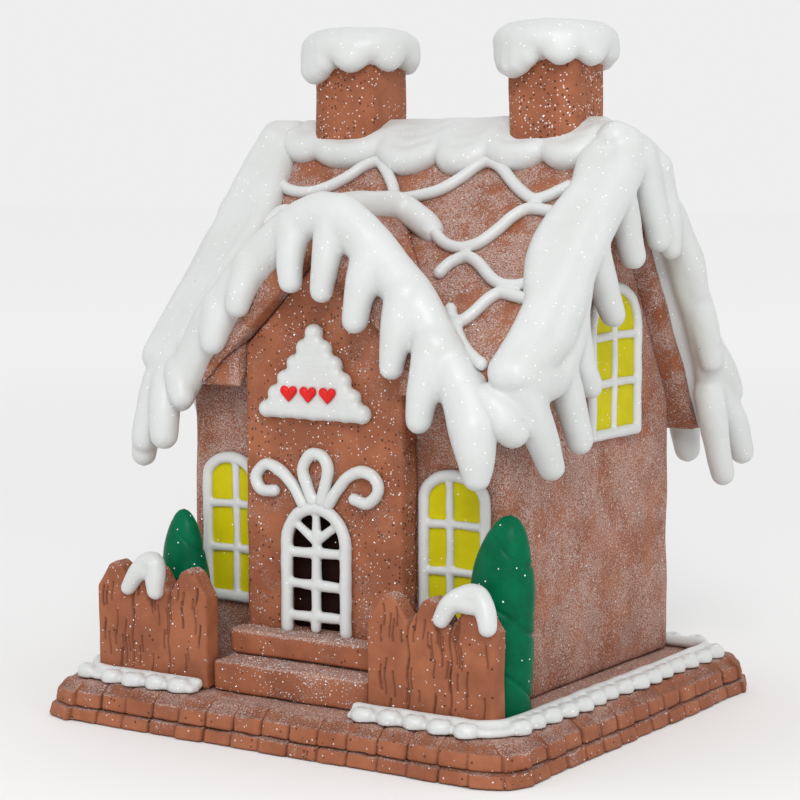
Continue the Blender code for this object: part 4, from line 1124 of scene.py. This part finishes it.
class TurnTrees(bpy.types.Operator):
    """Turn the two green trees with the ridges that wind round them"""
    bl_idname = "gingerbread.trees"
    bl_label = "Trees"

    def execute(self, context):
        for k, side in enumerate(("left", "right")):
            node = "tree_" + side
            low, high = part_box(node)
            radius = (high.y - low.y) / 2 / TREE_FLAT
            x, y = low.x + radius, (low.y + high.y) / 2
            deselect()
            bpy.ops.mesh.primitive_cylinder_add(vertices=96, radius=1.0, depth=1.0)
            thing = context.active_object
            thing.name = "tree_clay_" + side
            bpy.ops.object.mode_set(mode="EDIT")
            bpy.ops.mesh.select_all(action="DESELECT")
            work = bmesh.from_edit_mesh(thing.data)
            for edge in work.edges:
                a, b = edge.verts
                edge.select = abs(a.co.z - b.co.z) > 0.5
            bmesh.update_edit_mesh(thing.data)
            bpy.ops.mesh.subdivide(number_cuts=90)
            bpy.ops.object.mode_set(mode="OBJECT")
            for vert in thing.data.vertices:
                t = vert.co.z + 0.5
                a = math.atan2(vert.co.y, vert.co.x)
                girth = radius * max(0.0, 1 - max(0.0, t) ** 3.6) ** 0.52
                wave = (a / (2 * math.pi) + TREE_TURNS * t + 0.12 * math.sin(2 * a + 3 * t)) % 1.0
                groove = (-0.07 * math.exp(-((wave - 0.5) / 0.035) ** 2)
                          - 0.02 * math.cos(2 * math.pi * (wave - 0.5)))
                girth *= (1 + groove * min(1.0, 6 * (1 - t))) * math.hypot(vert.co.x, vert.co.y)
                vert.co = (x + TREE_LEAN[side] * t * t + girth * math.cos(a),
                           y + TREE_FLAT * girth * math.sin(a), low.z + (high.z - low.z) * t)
            lumpy(thing, 0.012, 0.0005, 5.0 * k)
            leaf = painted("tree clay", colours().leaf, 0.72, 0.3, 0.06, 1600.0, -0.15)
            done(thing, leaf, "green_clay", node)
        return {"FINISHED"}


# ---------------------------------------------------------------- glitter and frost

def surface_samples(names, share, count, draw):
    """Random places and normals on pieces; share(places, normals) is the chance that one is kept."""
    corners = []
    for name in names:
        mesh = bpy.data.objects[name].data
        mesh.calc_loop_triangles()
        points = np.empty(len(mesh.vertices) * 3, np.float32)
        mesh.vertices.foreach_get("co", points)
        corner_index = np.empty(len(mesh.loop_triangles) * 3, np.int32)
        mesh.loop_triangles.foreach_get("vertices", corner_index)
        corners.append(points.reshape(-1, 3)[corner_index].reshape(-1, 3, 3))
    corners = np.concatenate(corners).astype(float)
    cross = np.cross(corners[:, 1] - corners[:, 0], corners[:, 2] - corners[:, 0])
    area = np.linalg.norm(cross, axis=1)
    pick = draw.choice(len(area), count, p=area / area.sum())
    u, v = draw.rand(count), draw.rand(count)
    flip = u + v > 1
    u[flip], v[flip] = 1 - u[flip], 1 - v[flip]
    places = corners[pick, 0] + u[:, None] * (corners[pick, 1] - corners[pick, 0]) \
        + v[:, None] * (corners[pick, 2] - corners[pick, 0])
    normals = cross[pick] / area[pick][:, None]
    kept = draw.rand(count) < share(places, normals)
    return places[kept], normals[kept]


def scattered(name, places, normals, width, thickness, tilt, draw):
    """Flat eight-sided flakes lying on a surface, each turned and tipped a little."""
    points = np.array(((1, 0, 0), (0, 1, 0), (-1, 0, 0), (0, -1, 0), (0, 0, 1), (0, 0, -1)), float)
    faces = [(0, 1, 4), (1, 2, 4), (2, 3, 4), (3, 0, 4), (1, 0, 5), (2, 1, 5), (3, 2, 5), (0, 3, 5)]
    placements = []
    for place, normal in zip(places, normals):
        up = normal + tilt * (draw.rand(3) - 0.5)
        up /= np.linalg.norm(up)
        side = np.cross(up, draw.rand(3) - 0.5)
        side /= np.linalg.norm(side)
        size = width / 2 * (0.7 + 0.6 * draw.rand())
        turn = np.stack((side * size, np.cross(up, side) * size, up * thickness), axis=1)
        placements.append((turn, place + normal * thickness * 0.4))
    return copies(name, points, faces, placements)


def strewn(name, finish, plans, chance, seed, *flake):
    """A finished piece of flakes, by plans of (names, count, what chance takes besides places, normals)."""
    draw = np.random.RandomState(seed)
    found = [surface_samples(names, lambda places, normals: chance(places, normals, *rest), count, draw)
             for names, count, *rest in plans]
    places, normals = (np.concatenate(part) for part in zip(*found))
    thing = done(scattered(name, places, normals, *flake, draw), finish, "white_icing_clay")
    thing.data.shade_flat()


def patchiness(places, size, shift):
    return np.array([noise.noise(Vector(place.tolist()) / size + Vector((shift, 0, 0))) for place in places])


GLITTER = (         # pieces, flakes tried, share kept, size of the patches they gather in
    (("porch_clay",), 700, 0.75, 0.004),
    (("chimney_clay_left", "chimney_clay_right"), 700, 0.7, 0.004),
    (("wall_clay",), 900, 0.6, 0.01),
    (("roof_clay_front", "roof_clay_back", "gable_clay"), 1200, 0.6, 0.01),
    (("plate_clay", "bricks_upper", "bricks_lower"), 2300, 0.6, 0.006),
    (("step_clay_lower", "step_clay_upper"), 420, 0.7, 0.004),
    (("fence_clay_left", "fence_clay_right"), 300, 0.6, 0.004),
    (("porch_snow_drape", "rake_snow_drape_right", "rake_snow_drape_left", "ridge_snow_lobes"),
     300, 0.8, 0.02),
    (("tree_clay_left", "tree_clay_right", "plaque", "rim_piping"), 260, 0.7, 0.02),
)
FROST = (           # pieces, grains tried, how much more frost than on a plain wall, and on what faces up
    (("roof_clay_front", "gable_clay", "roof_clay_back"), 9000, 0.25, 0.5),
    (("wall_clay",), 7000, 0.15, 0.5),
    (("porch_clay",), 1800, -0.05, 0.4),
    (("plate_clay", "bricks_upper", "bricks_lower"), 9000, -0.15, 0.9),
    (("step_clay_lower", "step_clay_upper"), 2200, -0.1, 0.9),
    (("fence_clay_left", "fence_clay_right"), 1200, -0.3, 0.8),
    (("chimney_clay_left", "chimney_clay_right"), 900, -0.1, 0.3),
)


def glitter_chance(places, normals, keep, size):
    return keep * np.clip(0.65 + 1.3 * patchiness(places, size, 1.5), 0.1, 1)


def frost_chance(places, normals, level, lying):
    patches = 0.35 + level + 1.6 * patchiness(places, 0.014, 4.0)
    return np.clip(patches + lying * np.clip(normals[:, 2], 0, 1), 0, 1)


class ScatterGlitter(bpy.types.Operator):
    """Scatter silver glitter flakes over the clay, and a few over the icing"""
    bl_idname = "gingerbread.glitter"
    bl_label = "Glitter"

    def execute(self, context):
        finish = grain_material("silver glitter", 700.0, (0.72, 0.74, 0.8), (0.97, 0.97, 0.98),
                                0.12, 0.15, 0.85)
        strewn("silver_glitter", finish, GLITTER, glitter_chance, 21, sizes().flake, 0.00007, 0.9)
        return {"FINISHED"}


class ScatterFrost(bpy.types.Operator):
    """Scatter fine frost grains over the roofs, the walls and every ledge"""
    bl_idname = "gingerbread.frost"
    bl_label = "Frost"

    def execute(self, context):
        finish = grain_material("frost grains", 500.0, (0.62, 0.56, 0.55), (0.86, 0.84, 0.84), 0.25, 0.2, 0.0)
        strewn("frost_grains", finish, FROST, frost_chance, 33, sizes().frost_grain, 0.00013, 1.2)
        return {"FINISHED"}


# ---------------------------------------------------------------- stage

# painted shade on the floor near the house, fading to painted light towards the horizon
FLOOR_NEAR_SHADE, FLOOR_FAR_LIGHT = (0.86, 0.86, 0.86), (0.99, 0.99, 0.99)
SKY_STRENGTH = 0.86
KEY_LIGHT = {"place": (0.6, -0.85, 0.8), "aim": (0, 0, 0.08), "width": 0.45, "power": 6.5}
CAMERA_PLACE = (0.37213, -0.56452, 0.15714)
CAMERA_TURN = (90 - 5.70, 0.16, 33.54)
CAMERA_LENS = 104.02


def area_light(name, place, aim, width, power):
    light = bpy.data.lights.new(name, "AREA")
    light.shape = "SQUARE"
    light.size = width
    light.energy = power
    thing = linked(name, light)
    thing.location = place
    thing.rotation_euler = (Vector(aim) - Vector(place)).to_track_quat("-Z", "Y").to_euler()


class SetStage(bpy.types.Operator):
    """Set the pale floor, the soft light and the camera"""
    bl_idname = "gingerbread.stage"
    bl_label = "Stage"

    def execute(self, context):
        scene = context.scene
        deselect()
        bpy.ops.mesh.primitive_plane_add(size=14.0, location=(0, 0, -0.0002))
        floor = context.active_object
        floor.name = "floor"
        made, tree, shader = base_material("floor paper")
        place = tree.nodes.new("ShaderNodeTexCoord").outputs["Object"]
        reach = add_node(tree, "VectorMath", {0: place}, operation="LENGTH").outputs["Value"]
        # painted shade near the house, lighter with distance: painted light towards the horizon
        colour = blend_colour(tree, step_between(tree, reach, 0.1, 1.6), FLOOR_NEAR_SHADE, FLOOR_FAR_LIGHT)
        feed(tree, shader, {"Base Color": colour, "Roughness": 0.95, "Specular IOR Level": 0.0})
        floor.data.materials.append(made)
        world = bpy.data.worlds.new("studio")
        world.use_nodes = True
        sky = world.node_tree.nodes["Background"]
        feed(world.node_tree, sky, {"Color": (1, 1, 1, 1), "Strength": SKY_STRENGTH})
        scene.world = world
        scene.view_settings.view_transform = "Standard"
        area_light("key", **KEY_LIGHT)
        camera = bpy.data.cameras.new("camera")
        camera.lens = CAMERA_LENS
        camera.sensor_width = 36.0
        camera.clip_start = 0.01
        camera.clip_end = 20.0
        view = linked("camera", camera)
        view.location = CAMERA_PLACE
        view.rotation_euler = [math.radians(turn) for turn in CAMERA_TURN]
        scene.camera = view
        return {"FINISHED"}


# ---------------------------------------------------------------- panel and running

PIECES = (LaySlab, PipeRim, ShapeWalls, CutFences, TurnTrees, PipeWindows, PipeDoor, PipeRoofLines, MakeSign,
          DrapePorchSnow, DrapeRakeSnow, DrapeTopSnow, ScatterGlitter, ScatterFrost, SetStage)


class GingerbreadPanel(bpy.types.Panel):
    """Lists the sizes, the colours and the pieces of the gingerbread house"""
    bl_label = "Gingerbread house"
    bl_idname = "VIEW3D_PT_gingerbread_house"
    bl_space_type = "VIEW_3D"
    bl_region_type = "UI"
    bl_category = "Gingerbread"

    def draw(self, context):
        column = self.layout.column()
        for group in (context.scene.house_sizes, context.scene.house_colours):
            for label in group.__annotations__:
                column.prop(group, label)
        for piece in PIECES:
            column.operator(piece.bl_idname)


CLASSES = (HouseSizes, HouseColours, *PIECES, GingerbreadPanel)


def register():
    for piece in CLASSES:
        bpy.utils.register_class(piece)
    bpy.types.Scene.house_sizes = bpy.props.PointerProperty(type=HouseSizes)
    bpy.types.Scene.house_colours = bpy.props.PointerProperty(type=HouseColours)


def unregister():
    del bpy.types.Scene.house_colours
    del bpy.types.Scene.house_sizes
    for piece in reversed(CLASSES):
        bpy.utils.unregister_class(piece)


def main():
    register()
    for piece in PIECES:
        family, action = piece.bl_idname.split(".")
        getattr(getattr(bpy.ops, family), action)()


if __name__ == "__main__":
    main()
